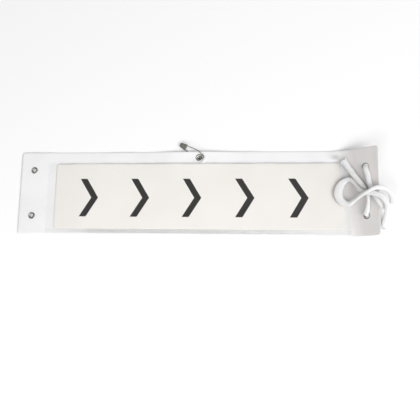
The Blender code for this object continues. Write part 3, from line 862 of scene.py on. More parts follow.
def cover_height(along, across):
    """The window's underside: raised over the card, stepping down to its welds."""
    outside = np.maximum(INSERT_LEFT - along, along - INSERT_RIGHT)
    outside = np.maximum(outside, INSERT_LOW - across)
    raised = 1 - smooth_step(outside / COVER_STEP_RUN)
    return COVER_WELD_HEIGHT + raised * (COVER_RAISED_HEIGHT - COVER_WELD_HEIGHT)


def face_outwards(mesh):
    """Turn a closed mesh's faces round if they point inwards."""
    mesh.calc_loop_triangles()
    count = len(mesh.loop_triangles)
    corners = np.empty(3 * count, dtype=np.int32)
    mesh.loop_triangles.foreach_get("vertices", corners)
    points = np.empty(3 * len(mesh.vertices), dtype=np.float32)
    mesh.vertices.foreach_get("co", points)
    a, b, c = points.reshape(-1, 3)[corners.reshape(-1, 3)].astype(float).transpose(1, 0, 2)
    if np.einsum("ij,ij->i", a, np.cross(b, c)).sum() < 0:
        mesh.flip_normals()


def add_piece(name, mesh, material, nodes):
    """A finished piece at the origin, in place of its CAD nodes."""
    face_outwards(mesh)
    if not mesh.materials:
        mesh.materials.append(material)
    piece = bpy.data.objects.new(name, mesh)
    bpy.context.scene.collection.objects.link(piece)
    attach(piece, "root")
    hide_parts(*nodes)
    return piece


def eyelet_places():
    half = END_EYELET_SPACING / 2
    return (
        ("eyelet_left_upper", END_EYELET_INSET, half),
        ("eyelet_left_lower", END_EYELET_INSET, -half),
        ("eyelet_top", TOP_EYELET_ALONG, TOP_EYELET_ACROSS),
    )


def smooth_curve(points, per_span):
    """Points of a smooth curve through the given ones (Catmull-Rom)."""
    points = [Vector(p) for p in points]
    ends = [2 * points[0] - points[1], *points, 2 * points[-1] - points[-2]]
    curve = []
    for before, start, end, after in zip(ends, ends[1:], ends[2:], ends[3:]):
        for i in range(per_span):
            t = i / per_span
            bend = 2 * before - 5 * start + 4 * end - after
            twist = 3 * start - before - 3 * end + after
            curve.append(0.5 * (2 * start + (end - before) * t + bend * t**2 + twist * t**3))
    curve.append(points[-1])
    return curve


def even_points(curve, count):
    """Points at even spacing along a polyline, and where each lies, counted in its points."""
    lengths = [0.0]
    for start, end in zip(curve, curve[1:]):
        lengths.append(lengths[-1] + (end - start).length)
    points, passed, span = [], [], 0
    for i in range(count):
        target = lengths[-1] * i / (count - 1)
        while span < len(curve) - 2 and lengths[span + 1] < target:
            span += 1
        share = (target - lengths[span]) / (lengths[span + 1] - lengths[span])
        points.append(curve[span].lerp(curve[span + 1], share))
        passed.append(span + share)
    return points, passed


def softened(values):
    """The values averaged with their neighbours, so that none has a corner."""
    padded = np.pad(values, CORD_SOFTENING, mode="edge")
    weights = np.hanning(2 * CORD_SOFTENING + 3)[1:-1]
    return np.convolve(padded, weights / weights.sum(), mode="valid")


def line_mesh(name, points):
    mesh = bpy.data.meshes.new(name)
    mesh.from_pydata(points, [(i, i + 1) for i in range(len(points) - 1)], [])
    return mesh


def level_frames(points):
    """A direction square to the line at each point, carried along it and eased to the level."""
    sides = []
    ahead = (points[1] - points[0]).normalized()
    side = Vector((0, 0, 1)).cross(ahead).normalized()
    for before, after in zip([points[0], *points], [*points[1:], points[-1]]):
        tangent = (after - before).normalized()
        side = ahead.rotation_difference(tangent) @ side
        level = Vector((0, 0, 1)).cross(tangent)
        if level.dot(side) < 0:
            level = -level
        side = side + CORD_EASE * level.length * level
        side = (side - side.dot(tangent) * tangent).normalized()
        ahead = tangent
        sides.append(side.copy())
    return sides


def braid_core(shape, line, wide, deep):
    """The filling inside the strands, as broad and deep as they leave it."""
    turn = shape.node("GeometryNodeSplineParameter", None, None, "Factor")
    tube = shape.swept(line, shape.stored(shape.ring(CORE_STEPS, 1.0), "turn", turn))
    angle = -2 * math.pi * shape.carried("turn")
    aside = shape.scaled(shape.carried("side", True), shape.maths("COSINE", angle) * wide)
    above = shape.scaled(shape.carried("rise", True), shape.maths("SINE", angle) * deep)
    place = shape.vectors("ADD", aside, above)
    place = shape.vectors("ADD", place, shape.carried("middle", True))
    return shape.node("GeometryNodeSetPosition", None, {"Geometry": tube, "Position": place})


def frayed_ends(shape, strands):
    """Short loose fibres at both ends of every strand."""
    count = shape.count("Fibres a strand", FIBRES_PER_STRAND)
    length = shape.size("Fibre length", FIBRE_LENGTH)
    radius = shape.size("Fibre radius", FIBRE_RADIUS)
    spread = shape.size("Fibre spread", FIBRE_SPREAD)
    seed = shape.count("Seed", FIBRE_SEED)
    sockets = {"Curve": strands, "Count": 2}
    ends = shape.node("GeometryNodeCurveToPoints", {"mode": "COUNT"}, sockets)
    index = shape.node("GeometryNodeInputIndex")
    which = 2 * shape.maths("MODULO", index, 2) - 1
    ends = shape.stored(ends, "away", shape.scaled(ends.other("Tangent"), which), True)
    sockets = {"Geometry": ends, "Amount": count}
    roots = shape.node("GeometryNodeDuplicateElements", {"domain": "POINT"}, sockets)
    sockets = {0: (-1, -1, -1), 1: (1, 1, 1), "ID": index, "Seed": seed}
    astray = shape.node("FunctionNodeRandomValue", {"data_type": "FLOAT_VECTOR"}, sockets)
    ahead = shape.vectors("ADD", shape.carried("away", True), shape.scaled(astray, spread))
    turn = shape.node("FunctionNodeAlignRotationToVector", {"axis": "Z"}, {"Vector": ahead})
    sockets = {2: FIBRE_SHORTEST, 3: 1.0, "ID": index, "Seed": seed}
    share = shape.node("FunctionNodeRandomValue", {"data_type": "FLOAT"}, sockets, 1)
    sockets = {
        "Resolution": 4,
        "Start": (0, 0, 0),
        "Start Handle": shape.vector(0, 0, FIBRE_LOW_HANDLE * length),
        "End Handle": shape.vector(FIBRE_HANDLE_ASIDE * length, 0, FIBRE_HIGH_HANDLE * length),
        "End": shape.vector(FIBRE_TIP_ASIDE * length, 0, length),
    }
    fibre = shape.node("GeometryNodeCurvePrimitiveBezierSegment", None, sockets)
    sockets = {"Points": roots, "Instance": fibre, "Rotation": turn, "Scale": share}
    fibres = shape.node("GeometryNodeInstanceOnPoints", None, sockets)
    fibres = shape.node("GeometryNodeRealizeInstances", None, {"Geometry": fibres})
    return shape.swept(fibres, shape.ring(3, radius))


def braid_shape(material):
    """Strands that wind both ways round a line, two over and two under."""
    shape = Shape("braid")
    strands = shape.count("Strands", BRAID_STRANDS)
    lay = shape.size("Lay", BRAID_LAY)
    ripple = shape.size("Ripple", BRAID_RIPPLE)
    breadth = shape.size("Strand breadth", STRAND_BREADTH)
    depth = shape.size("Strand depth", STRAND_DEPTH)
    step = shape.size("Step", STRAND_STEP)
    diameter = shape.size("Diameter", CORD_DIAMETER)

    line = shape.node("GeometryNodeMeshToCurve", None, {"Mesh": shape.start()})
    sockets = {"Curve": line, "Length": step}
    line = shape.node("GeometryNodeResampleCurve", {"mode": "LENGTH"}, sockets)
    side = shape.carried("side", True)
    wide = shape.carried("half_breadth")
    deep = shape.carried("half_depth")
    position = shape.node("GeometryNodeInputPosition")
    tangent = shape.node("GeometryNodeInputTangent")
    line = shape.stored(line, "middle", position, True)
    line = shape.stored(line, "rise", shape.vectors("CROSS_PRODUCT", tangent, side), True)
    rise = shape.carried("rise", True)

    sockets = {"Geometry": line, "Amount": strands}
    copies = shape.node("GeometryNodeDuplicateElements", {"domain": "SPLINE"}, sockets)
    copies = shape.stored(copies, "number", copies.other("Duplicate Index"), domain="CURVE")
    number = shape.carried("number")
    way = 1 - 2 * shape.maths("MODULO", number, 2)
    place = shape.maths("FLOOR", number / 2)
    per_way = strands / 2
    along = shape.node("GeometryNodeSplineParameter", None, None, "Length")
    turns = along / lay
    angle = 2 * math.pi * (place / per_way + way * turns)
    crossing = 2 * place + way * 2 * per_way * turns
    over = way * shape.maths("COSINE", math.pi / 2 * crossing - math.pi / 4)

    sink = ripple + depth / 2
    cosine = shape.maths("COSINE", angle)
    sine = shape.maths("SINE", angle)
    aside = shape.scaled(side, cosine * (wide - sink + ripple * over))
    above = shape.scaled(rise, sine * (deep - sink + ripple * over))
    offset = shape.vectors("ADD", aside, above)
    outward = shape.vectors(
        "ADD", shape.scaled(side, cosine / wide), shape.scaled(rise, sine / deep)
    )
    wound = shape.stored(copies, "outward", shape.vectors("NORMALIZE", outward), True)
    wound = shape.stored(wound, "strand_along", along)
    wound = shape.node("GeometryNodeSetPosition", None, {"Geometry": wound, "Offset": offset})
    sockets = {"Curve": wound, "Normal": shape.carried("outward", True)}
    wound = shape.node("GeometryNodeSetCurveNormal", {"mode": "FREE"}, sockets)

    around = shape.node("GeometryNodeSplineParameter", None, None, "Factor")
    section = shape.stored(shape.ring(STRAND_SIDES, 1.0), "strand_around", around)
    squashed = shape.vectors("MULTIPLY", position, shape.vector(depth / 2, breadth / 2, 1))
    sockets = {"Geometry": section, "Position": squashed}
    section = shape.node("GeometryNodeSetPosition", None, sockets)

    join = shape.tree.nodes.new("GeometryNodeJoinGeometry")
    for part in (
        braid_core(shape, line, wide - 2 * sink, deep - 2 * sink),
        shape.swept(wound, section, (wide + deep) / diameter),
        frayed_ends(shape, wound),
    ):
        shape.tree.links.new(part.socket, join.inputs[0])
    shape.end(Value(shape, join.outputs[0]), material)
    return shape


def make_cord(material):
    """The braided cord along its route."""
    curve = smooth_curve([Vector(p) + strap_middle for p in CORD_ROUTE], ROUTE_STEPS)
    points, passed = even_points(curve, CORD_POINTS)
    line = line_mesh("cord_line", points)
    sides = line.attributes.new("side", "FLOAT_VECTOR", "POINT")
    sides.data.foreach_set("vector", np.array(level_frames(points)).ravel())
    stations = [section.point for section in CORD_SECTIONS]
    for name in ("half_breadth", "half_depth"):
        widths = [getattr(section, name) for section in CORD_SECTIONS]
        half = line.attributes.new(name, "FLOAT", "POINT")
        widths = np.interp(np.array(passed) / ROUTE_STEPS, stations, widths)
        half.data.foreach_set("value", softened(widths))
    mesh = braid_shape(material).make("braided_cord", line)
    cord = add_piece("braided_cord", mesh, material, ["tie_cord"])
    sum((b - a).length for a, b in zip(points, points[1:]))


def eyelet_shape(material):
    """A rolled eyelet: its section turned round the hole."""
    shape = Shape("eyelet")
    steps = shape.count("Steps", EYELET_STEPS)
    section = shape.node("GeometryNodeMeshToCurve", None, {"Mesh": shape.start()})
    shape.end(shape.swept(shape.ring(steps, EYELET_HOLE_RADIUS), section, capped=False), material)
    return shape


def eyelet_section():
    """The eyelet's section from its hole, as a closed line: distance outwards and height."""
    front_low = BACKING_THICKNESS + CLEARANCE
    front_high = front_low + EYELET_FRONT_THICKNESS
    back_high = -CLEARANCE
    back_low = back_high - EYELET_BACK_THICKNESS
    reach = EYELET_FLANGE_RADIUS - EYELET_HOLE_RADIUS
    wall = EYELET_WALL
    roll = EYELET_FRONT_THICKNESS
    lip = EYELET_LIP_BREADTH
    half = EYELET_BACK_THICKNESS / 2
    return [
        *arc((lip, front_high - roll), (lip, roll), 180, 90, EYELET_ROLL_STEPS),
        *arc((reach - roll, front_high - roll), (roll, roll), 90, 0, EYELET_ROLL_STEPS),
        (reach - EYELET_FRONT_UNDERCUT, front_low),
        (wall, front_low),
        (wall, back_high),
        *arc((reach - EYELET_BACK_INSET, back_high - half), (half, half), 90, -90, EYELET_BACK_STEPS),
        *arc((wall, back_low + wall), (wall, wall), -90, -180, EYELET_FOOT_STEPS),
    ]


def make_eyelets(material):
    section = [Vector((out, -high, 0.0)) for out, high in eyelet_section()]
    line = bpy.data.meshes.new("eyelet_section")
    count = len(section)
    line.from_pydata(section, [(i, (i + 1) % count) for i in range(count)], [])
    shape = eyelet_shape(material)
    for name, along, across in eyelet_places():
        mesh = shape.make(name + "_rolled", line)
        reach = np.empty(3 * len(mesh.vertices), dtype=np.float32)
        mesh.vertices.foreach_get("co", reach)
        reach = np.hypot(*reach.reshape(-1, 3).T[:2])
        mesh.attributes.new("reach", "FLOAT", "POINT").data.foreach_set("value", reach)
        mesh.transform(strap_frame(along, across))
        add_piece(name + "_rolled", mesh, material, [name])


def pin_place(ahead, aside, height):
    """A point given ahead of the pin's coil, aside of it and above the ground."""
    eyelet = underside(TOP_EYELET_ALONG, TOP_EYELET_ACROSS)
    ahead -= PIN_COIL_BACK
    aside -= PIN_COIL_ASIDE
    x = eyelet[0] - ahead * math.cos(PIN_ANGLE) - aside * math.sin(PIN_ANGLE)
    y = eyelet[1] + ahead * math.sin(PIN_ANGLE) - aside * math.cos(PIN_ANGLE)
    return Vector((x, y, height))


def cap_middle_height():
    half_width = PIN_CAP_WIDTH / 2 * math.sin(PIN_CAP_TILT)
    half_thickness = PIN_CAP_THICKNESS / 2 * math.cos(PIN_CAP_TILT)
    return CLEARANCE + half_width + half_thickness


def pin_line():
    """The wire's line: front arm, coil, then the rear arm down through the top eyelet."""
    radius = PIN_COIL_RADIUS
    eyelet_height = float(underside(TOP_EYELET_ALONG, TOP_EYELET_ACROSS)[2])
    hole_middle = eyelet_height + BACKING_THICKNESS / 2
    flange_top = eyelet_height + BACKING_THICKNESS + CLEARANCE + EYELET_FRONT_THICKNESS
    coil_low = flange_top + CLEARANCE / 2 + PIN_WIRE_DIAMETER / 2
    pitch = PIN_WIRE_DIAMETER + CLEARANCE * 2 / 3
    coil_high = coil_low + PIN_COIL_TURNS * pitch

    tip = PIN_LENGTH - PIN_CAP_LENGTH / 5
    mean_width = PIN_CAP_WIDTH - (PIN_CAP_WIDTH - PIN_CAP_END_WIDTH) / 3
    half_gap = mean_width / 2 - PIN_CAP_WALL - CLEARANCE - PIN_WIRE_DIAMETER / 2
    tip_aside = half_gap * math.cos(PIN_CAP_TILT)
    tip_rise = half_gap * math.sin(PIN_CAP_TILT)
    tip_height = cap_middle_height()
    points = [
        pin_place(tip, PIN_CAP_ASIDE - tip_aside, tip_height + tip_rise),
        pin_place(PIN_LENGTH / 2, -PIN_BOW_ASIDE, (tip_height + tip_rise + coil_high) / 2),
        pin_place(PIN_BOW_AHEAD, -PIN_BOW_ASIDE, coil_high - CLEARANCE),
        pin_place(PIN_BOW_AHEAD / 2, -(PIN_BOW_ASIDE + radius) / 2, coil_high),
    ]
    steps = round(COIL_STEPS_PER_TURN * PIN_COIL_TURNS)
    for i in range(steps + 1):
        share = i / steps
        angle = -math.pi / 2 - 2 * math.pi * PIN_COIL_TURNS * share
        height = coil_high + share * (coil_low - coil_high)
        points.append(pin_place(radius * math.cos(angle), radius * math.sin(angle), height))
    half_drop = (coil_low - REAR_ARM_HEIGHT) / 2
    reach = EYELET_HOLE_RADIUS
    for ahead, share in PIN_DESCENT:
        height = hole_middle + share * half_drop
        points.append(pin_place(PIN_COIL_BACK + ahead * reach, radius, height))
    points += [
        pin_place(PIN_COIL_BACK + REAR_ARM_LANDS * reach, radius, REAR_ARM_HEIGHT + CLEARANCE / 3),
        pin_place(PIN_COIL_BACK + REAR_ARM_FLAT * reach, radius, REAR_ARM_HEIGHT),
        pin_place(PIN_LENGTH / 2, radius, REAR_ARM_HEIGHT + CLEARANCE),
        pin_place(tip, PIN_CAP_ASIDE + tip_aside, tip_height - tip_rise),
    ]
    return smooth_curve(points, WIRE_STEPS)


def wire_shape(material):
    """A round wire along a line, with closed ends."""
    shape = Shape("wire")
    radius = shape.size("Radius", PIN_WIRE_DIAMETER / 2)
    line = shape.node("GeometryNodeMeshToCurve", None, {"Mesh": shape.start()})
    shape.end(shape.swept(line, shape.ring(WIRE_SIDES, radius)), material)
    return shape


def make_pin_wire(material):
    mesh = wire_shape(material).make("sprung_wire", line_mesh("pin_line", pin_line()))
    add_piece("sprung_wire", mesh, material, ["pin_wire"])


def cap_ring(at, half_width, half_depth):
    """A rounded flat section of the cap, square to its length."""
    ring = []
    for i in range(CAP_SIDES):
        angle = 2 * math.pi * i / CAP_SIDES
        cosine, sine = math.cos(angle), math.sin(angle)
        out = abs(cosine) ** CAP_FLATNESS * math.copysign(1, cosine)
        high = abs(sine) ** CAP_FLATNESS * math.copysign(1, sine)
        ring.append((at, half_width * out, half_depth * high))
    return ring


def cap_sections():
    """The folded cap from its mouth to its end: place, half width and half depth."""
    half_depth = PIN_CAP_THICKNESS / 2 - PIN_CAP_SINK
    outside = []
    for i in range(CAP_SPANS + 1):
        share = i / CAP_SPANS
        at = -PIN_CAP_LENGTH / 2 + share * (PIN_CAP_LENGTH - PIN_CAP_ROUNDING)
        half = (PIN_CAP_WIDTH + share * (PIN_CAP_END_WIDTH - PIN_CAP_WIDTH)) / 2
        lip = PIN_CAP_LIP * math.exp(-share * CAP_SPANS)
        outside.append((at, half, half_depth + lip))
    for i in range(1, CAP_END_SPANS + 1):
        angle = math.pi / 2 * i / CAP_END_SPANS
        at = PIN_CAP_LENGTH / 2 - PIN_CAP_ROUNDING * (1 - math.sin(angle))
        share = max(math.cos(angle), CAP_END_SHARE)
        half = PIN_CAP_END_WIDTH / 2 - PIN_CAP_ROUNDING * (1 - share)
        outside.append((at, half, half_depth * (CAP_END_DEPTH + (1 - CAP_END_DEPTH) * share)))
    inside = [
        (at - CAP_INSIDE_SHIFT, half - PIN_CAP_WALL, depth - PIN_CAP_WALL)
        for at, half, depth in outside[: CAP_SPANS + 1]
    ]
    inside[0] = (outside[0][0], *inside[0][1:])
    return inside[::-1] + outside


def make_pin_cap(material):
    """The folded cap: a flat tapered shell, open where the arms go in."""
    forward = (pin_place(PIN_LENGTH, 0.0, 0.0) - pin_place(0.0, 0.0, 0.0)).normalized()
    tilt = Matrix.Rotation(-PIN_CAP_TILT, 3, forward)
    up = Vector((0.0, 0.0, 1.0))
    turn = Matrix((forward, tilt @ up.cross(forward), tilt @ up)).transposed().to_4x4()
    middle = pin_place(PIN_LENGTH, PIN_CAP_ASIDE, cap_middle_height())

    rings = [cap_ring(*section) for section in cap_sections()]
    faces = []
    for base in range(0, (len(rings) - 1) * CAP_SIDES, CAP_SIDES):
        for i in range(CAP_SIDES):
            j = (i + 1) % CAP_SIDES
            ahead = base + CAP_SIDES
            faces.append((base + i, ahead + i, ahead + j, base + j))
    last = (len(rings) - 1) * CAP_SIDES
    faces.append(tuple(range(CAP_SIDES)))
    faces.append(tuple(last + i for i in reversed(range(CAP_SIDES))))
    mesh = bpy.data.meshes.new("folded_cap")
    mesh.from_pydata([point for ring in rings for point in ring], [], faces)
    mesh.transform(Matrix.Translation(middle) @ turn)
    mesh.shade_smooth()
    add_piece("folded_cap", mesh, material, ["pin_cap"])


def white_vinyl():
    """Satin white vinyl with fine grain and soft waves; painted shade on its edges, its bent end,
    round the cord's holes and at a dent.
    """
    finish = Finish("white vinyl")
    lay = finish.own("lay", True)
    along, across, _ = finish.parts(lay)
    grime = finish.noise(lay, scale=26, detail=4)
    stray = grime - 0.5
    tone = finish.mottled(grime, low=0.35, high=0.75, tones=VINYL_TONES)
    # Painted shade: the strap's end darker from where it begins to bend towards the cord
    curl_shade = finish.ramp(along + stray * CURL_SHADE_STRAY, CURL_SHADE_FROM, CURL_SHADE_FULL)
    tone = finish.blend(curl_shade * CURL_SHADE_SHARE, tone, VINYL_CURL_SHADE)
    # Painted shade: a dark line along the strap's edges
    inside = finish.maths("MINIMUM", along, BAND_LENGTH - along)
    inside = finish.maths("MINIMUM", inside, BAND_WIDTH / 2 + EDGE_SHADE_BEYOND_SIDES - abs(across))
    edge_shade = 1 - finish.ramp(inside + stray * EDGE_SHADE_STRAY, EDGE_SHADE_START, EDGE_SHADE_WIDTH)
    tone = finish.blend(edge_shade * EDGE_SHADE_SHARE, tone, VINYL_EDGE_SHADE)
    # Painted shade: dark crescents round the cord's holes, on their sides away from each other
    beside = abs(across - CORD_HOLE_OFFSET) - CORD_HOLE_SPACING / 2
    from_hole = finish.reach(along - CORD_HOLE_ALONG, beside) - CORD_HOLE_RADIUS
    hole_shade = 1 - finish.ramp(from_hole + stray * HOLE_SHADE_STRAY, HOLE_SHADE_START, HOLE_SHADE_WIDTH)
    hole_shade = hole_shade * finish.ramp(beside, HOLE_SHADE_SIDE_FROM, HOLE_SHADE_SIDE_FULL)
    tone = finish.blend(hole_shade, tone, HOLE_SHADE)
    # Painted shade of a small dent near the cord's end
    aside = (along - DENT_SHADE_ALONG) / DENT_SHADE_LENGTH
    from_dent_shade = finish.reach(aside, (across - DENT_SHADE_ACROSS) / DENT_SHADE_WIDTH)
    dent_shade = 1 - finish.ramp(from_dent_shade + stray * DENT_SHADE_STRAY, 0.0, 1.0)
    tone = finish.blend(dent_shade * DENT_SHADE_SHARE, tone, DENT_SHADE_GREY)
    return finish.give(
        Base_Color=tone,
        Roughness=VINYL_ROUGHNESS + VINYL_ROUGHER * grime,
        Normal=vinyl_relief(finish, lay),
    )


def vinyl_relief(finish, lay):
    """Soft waves, creases beside the cord, the ridge under the top eyelet and a fine grain."""
    along, across, _ = finish.parts(lay)
    waves = finish.noise(lay, scale=60, detail=2)
    soft = finish.bump(waves, strength=0.25, distance=0.0012)
    slanted = along * CREASES_ALONG + across * CREASE_SLANT
    where = finish.vector(slanted, across * CREASES_ACROSS, 0.0)
    drawn = finish.noise(where, scale=1, detail=1)
    near_cord = finish.ramp(along, CREASE_FROM, CREASE_FULL)
    soft = finish.bump(drawn * near_cord, strength=0.30, distance=0.0012, under=soft)
    below = TOP_EYELET_ACROSS - across
    from_eyelet = finish.reach(along - TOP_EYELET_ALONG, below)
    ridge = 1 - finish.ramp(abs(from_eyelet - RIDGE_RADIUS), 0.0, RIDGE_WIDTH)
    ridge = ridge * finish.ramp(below, 0.0, RIDGE_WIDTH * 2)
    soft = finish.bump(ridge, strength=0.9, distance=0.0007, under=soft)
    grain = finish.noise(lay, scale=1800, detail=2)
    return finish.bump(grain, strength=0.10, distance=0.00008, under=soft)


def chevron(finish, along, across):
    """Printed marks: bold arrowheads in a row, pointing along the strap."""
    step = (along - MARK_ALONG) / MARK_PITCH
    reach = (step - finish.maths("ROUND", step)) * MARK_PITCH
    beside = abs(across - MARK_ACROSS)
    stroke = abs(reach + MARK_SLANT * beside - MARK_TIP)
    body = 1 - finish.ramp(stroke, MARK_HALF_STROKE, MARK_HALF_STROKE + MARK_EDGE, False)
    tips = 1 - finish.ramp(beside, MARK_HALF_HEIGHT, MARK_HALF_HEIGHT + MARK_EDGE, False)
    ends = 1 - finish.ramp(abs(step), MARK_COUNT / 2, MARK_COUNT / 2 + MARK_ROW_EDGE, False)
    return body * tips * ends


def cream_card():
    """Matt cream card with faint fibres, its printed marks, and painted shade and a painted shadow
    line.
    """
    finish = Finish("cream card")
    lay = finish.own("lay", True)
    along, across, _ = finish.parts(lay)
    cloud = finish.noise(lay, scale=22)
    paper = finish.mottled(cloud, low=0.3, high=0.7, tones=CARD_TONES)
    # Painted shade: the card darker away from its middle, as light falls off
    from_middle = abs(along - BAND_LENGTH / 2 + cloud * LIGHT_FALLOFF_STRAY)
    light_falloff = finish.ramp(from_middle, LIGHT_FALLOFF_FROM, LIGHT_FALLOFF_FULL)
    paper = finish.blend(light_falloff * LIGHT_FALLOFF_SHARE, paper, CARD_SHADED)
    shaded = finish.ramp(across, INSERT_LOW, INSERT_HIGH)
    paper = finish.blend(shaded * SHADED_SHARE, paper, CARD_SHADED)
    # Painted shade along the card's edges
    inside = finish.maths("MINIMUM", along - INSERT_LEFT, across - INSERT_LOW)
    inside = finish.maths("MINIMUM", inside, INSERT_RIGHT - along)
    edge_shade = 1 - finish.ramp(inside + (cloud - 0.5) * CARD_EDGE_SHADE_STRAY, 0.0, CARD_EDGE_SHADE_WIDTH)
    paper = finish.blend(edge_shade * CARD_EDGE_SHADE_SHARE, paper, CARD_EDGE_SHADE)
    # Painted shadow: a grey line along the card's top edge, under the window's mouth
    top_shadow = 1 - finish.ramp(INSERT_HIGH - across, CARD_TOP_SHADOW_START, CARD_TOP_SHADOW_WIDTH)
    patches = finish.ramp(cloud, 0.4, 0.6)
    top_shadow = top_shadow * (CARD_TOP_SHADOW_FAINT + (1 - CARD_TOP_SHADOW_FAINT) * patches)
    paper = finish.blend(top_shadow * CARD_TOP_SHADOW_SHARE, paper, CARD_TOP_SHADOW)
    ragged = (finish.noise(lay, scale=1400, detail=2) - 0.5) * INK_STRAY
    ink = chevron(finish, along + ragged, across + ragged)
    fibre = finish.noise(lay, scale=900, detail=4)
    return finish.give(
        Base_Color=finish.blend(ink, paper, INK),
        Roughness=CARD_ROUGHNESS - INK_SMOOTHER * ink,
        Normal=finish.bump(fibre, strength=0.25, distance=0.00005),
    )


def clear_vinyl():
    """Clear glossy vinyl, slightly wavy, hazy along its lower weld, with a painted shadow line along
    its mouth.
    """
    finish = Finish("clear vinyl")
    lay = finish.own("lay", True)
    along, across, _ = finish.parts(lay)
    waves = finish.noise(lay, scale=34, detail=2)
    cloud = finish.noise(lay, scale=60)
    # Painted shadow: a grey line along the window's mouth
    mouth_shadow = finish.ramp(across, COVER_HIGH - MOUTH_SHADOW_WIDTH, COVER_HIGH - MOUTH_SHADOW_WIDTH / 2)
    mouth_shadow = mouth_shadow * (MOUTH_SHADOW_FAINT + MOUTH_SHADOW_PATCHES * finish.ramp(cloud, 0.35, 0.65))
    mouth_shadow = mouth_shadow * finish.ramp(along, MOUTH_SHADOW_START, MOUTH_SHADOW_FULL)
    below = INSERT_LOW - across + (cloud - 0.5) * WELD_STRAY
    weld = finish.ramp(below, WELD_START, WELD_FULL)
    hazy = HAZE_LEAST + HAZE_MORE * finish.ramp(along + cloud * HAZE_STRAY, HAZE_FROM, HAZE_FULL)
    hazy = hazy * (1 - HAZE_LOSS * finish.ramp(along, HAZE_FADES, HAZE_FADED))
    return finish.give(
        Base_Color=finish.blend(mouth_shadow, WINDOW_CLEAR, WINDOW_MOUTH_SHADOW),
        Metallic=1.0,
        Roughness=WINDOW_ROUGHNESS + WELD_ROUGHER * weld,
        Alpha=WINDOW_FILM + MOUTH_SHADOW_FILM * mouth_shadow + weld * hazy,
        Normal=finish.bump(waves, strength=0.35, distance=0.0010),
    )


def plated(plating, tarnished=False):
    """Plated metal with fine scratches and dull patches, and tarnish inside an eyelet's hole."""
    finish = Finish(plating.name)
    place = finish.place()
    patches = finish.noise(place, scale=plating.grain, detail=4)
    scratches = finish.noise(place, scale=plating.grain * SCRATCH_FINENESS)
    tones = (plating.bright, plating.dull)
    tone = finish.mottled(patches, low=0.4, high=0.7, tones=tones)
    rough = plating.roughness + PATCH_ROUGHER * patches
    if tarnished:
        reach = finish.own("reach") + (patches - 0.5) * TARNISH_STRAY
        tarnish = 1 - finish.ramp(reach, TARNISH_FROM, TARNISH_TO)
        tone = finish.blend(tarnish, tone, TARNISH)
        rough = rough + TARNISH_ROUGHER * tarnish
    normal = finish.bump(scratches, strength=0.12, distance=0.00004)
    return finish.give(Base_Color=tone, Roughness=rough, Normal=normal, Metallic=1.0)


def white_braid():
    """Soft white yarn, with fibres that run along each strand."""
    finish = Finish("white braid")
    along = finish.own("strand_along")
    around = finish.own("strand_around")
    number = finish.own("number")
    where = finish.vector(
        along * YARN_FINE_ALONG, around * YARN_FINE_AROUND, number * YARN_SHIFT
    )
    fibres = finish.noise(where, scale=1)
    cloud = finish.noise(finish.place(), scale=70, detail=2)
    tone = finish.mottled(fibres, low=0.3, high=0.75, tones=YARN_TONES)
    tone = finish.blend(finish.ramp(cloud, 0.45, 0.8) * YARN_DULL_SHARE, tone, YARN_DULL)
    return finish.give(
        Base_Color=tone,
        Roughness=0.86,
        Normal=finish.bump(fibres, strength=0.5, distance=0.00012),
        Sheen_Weight=0.15,
        Sheen_Roughness=0.5,
    )


def pale_floor():
    finish = Finish("pale floor")
    cloud = finish.noise(finish.place(), scale=3, detail=2)
    return finish.give(Base_Color=finish.blend(cloud, *FLOOR_TONES), Roughness=0.7)


def make_strap():
    half = BAND_WIDTH / 2
    barrel = EYELET_HOLE_RADIUS + EYELET_WALL + CLEARANCE
    loops = [partial(rounded_outline, 0, BAND_LENGTH, -half, half, BAND_CORNER_RADIUS)]
    loops += [partial(round_hole, along, across, barrel) for _, along, across in eyelet_places()]
    for side in (1, -1):
        across = CORD_HOLE_OFFSET + side * CORD_HOLE_SPACING / 2
        loops.append(partial(round_hole, CORD_HOLE_ALONG, across, CORD_HOLE_RADIUS))
    mesh = lay_sheet(
        "vinyl_strap",
        loops,
        thickness=BACKING_THICKNESS,
        rounding=EDGE_ROUNDING,
        height_at=lambda along, across: 0 * along,
        place_along=lambda along, across: along,
    )
    strap = add_piece("vinyl_strap", mesh, white_vinyl(), ["backing_sheet"])


def make_card():
    corners = (INSERT_LEFT, INSERT_RIGHT, INSERT_LOW, INSERT_HIGH, INSERT_CORNER_RADIUS)
    mesh = lay_sheet(
        "printed_card",
        [partial(rounded_outline, *corners)],
        thickness=INSERT_THICKNESS,
        rounding=INSERT_THICKNESS / 3,
        height_at=lambda along, across: INSERT_HEIGHT + 0 * along,
        place_along=skewed,
    )
    card = add_piece("printed_card", mesh, cream_card(), ["insert_panel"])


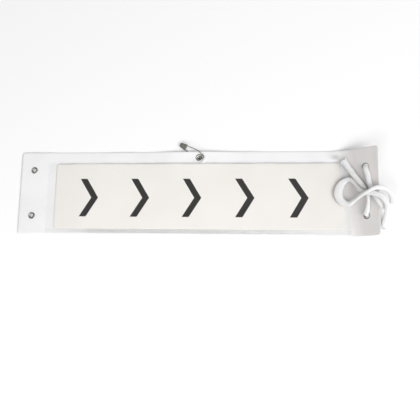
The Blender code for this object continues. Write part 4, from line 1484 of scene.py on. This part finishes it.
def make_window():
    corners = (COVER_LEFT, COVER_RIGHT, COVER_LOW, COVER_HIGH, COVER_CORNER_RADIUS)
    mesh = lay_sheet(
        "clear_window",
        [partial(rounded_outline, *corners)],
        thickness=COVER_THICKNESS,
        rounding=COVER_THICKNESS / 3,
        height_at=cover_height,
        place_along=skewed,
    )
    window = add_piece("clear_window", mesh, clear_vinyl(), ["clear_cover"])


def make_floor():
    mesh = bpy.data.meshes.new("floor")
    corners = [
        (aside * FLOOR_REACH, ahead * FLOOR_REACH, 0)
        for aside, ahead in ((-1, -1), (1, -1), (1, 1), (-1, 1))
    ]
    mesh.from_pydata(corners, [], [(0, 1, 2, 3)])
    mesh.materials.append(pale_floor())
    floor = bpy.data.objects.new("floor", mesh)
    bpy.context.scene.collection.objects.link(floor)


def add_light(name, place, size, power):
    """A round area light that faces the strap's middle."""
    lamp = bpy.data.lights.new(name, "AREA")
    lamp.shape = "DISK"
    lamp.size = size
    lamp.energy = power
    light = bpy.data.objects.new(name, lamp)
    light.location = Vector(place)
    aim = -light.location.normalized()
    light.rotation_mode = "QUATERNION"
    light.rotation_quaternion = aim.to_track_quat("-Z", "Y")
    bpy.context.scene.collection.objects.link(light)


def light_studio():
    """Soft light from the lower right, in pale surroundings that are darker overhead."""
    for lamp in LAMPS:
        add_light(*lamp)
    world = bpy.data.worlds.new("surroundings")
    world.use_nodes = True
    graph = Graph(world.node_tree)
    east, north, up = graph.parts(graph.node("ShaderNodeTexCoord", None, None, "Generated"))
    ring = graph.ramp(up, RING_FROM, RING_FULL) * (1 - graph.ramp(up, RING_FADES, RING_FADED))
    towards_key = KEY_EAST * east + KEY_NORTH * north
    horizon = 1 - graph.ramp(up, HORIZON_FADES, HORIZON_FADED)
    ring = ring * (RING_STRENGTH + KEY_STRENGTH * towards_key)
    strength = SKY_STRENGTH + ring + HORIZON_STRENGTH * horizon
    background = world.node_tree.nodes["Background"]
    background.inputs["Color"].default_value = (1, 1, 1, 1)
    graph.tree.links.new(strength.socket, background.inputs["Strength"])
    bpy.context.scene.world = world
    bpy.context.scene.view_settings.view_transform = "Standard"


place_camera()
make_cord(white_braid())
make_floor()
make_strap()
make_card()
make_window()
make_eyelets(plated(NICKEL, tarnished=True))
make_pin_wire(plated(PIN_STEEL))
make_pin_cap(plated(PIN_CAP_STEEL))
light_studio()
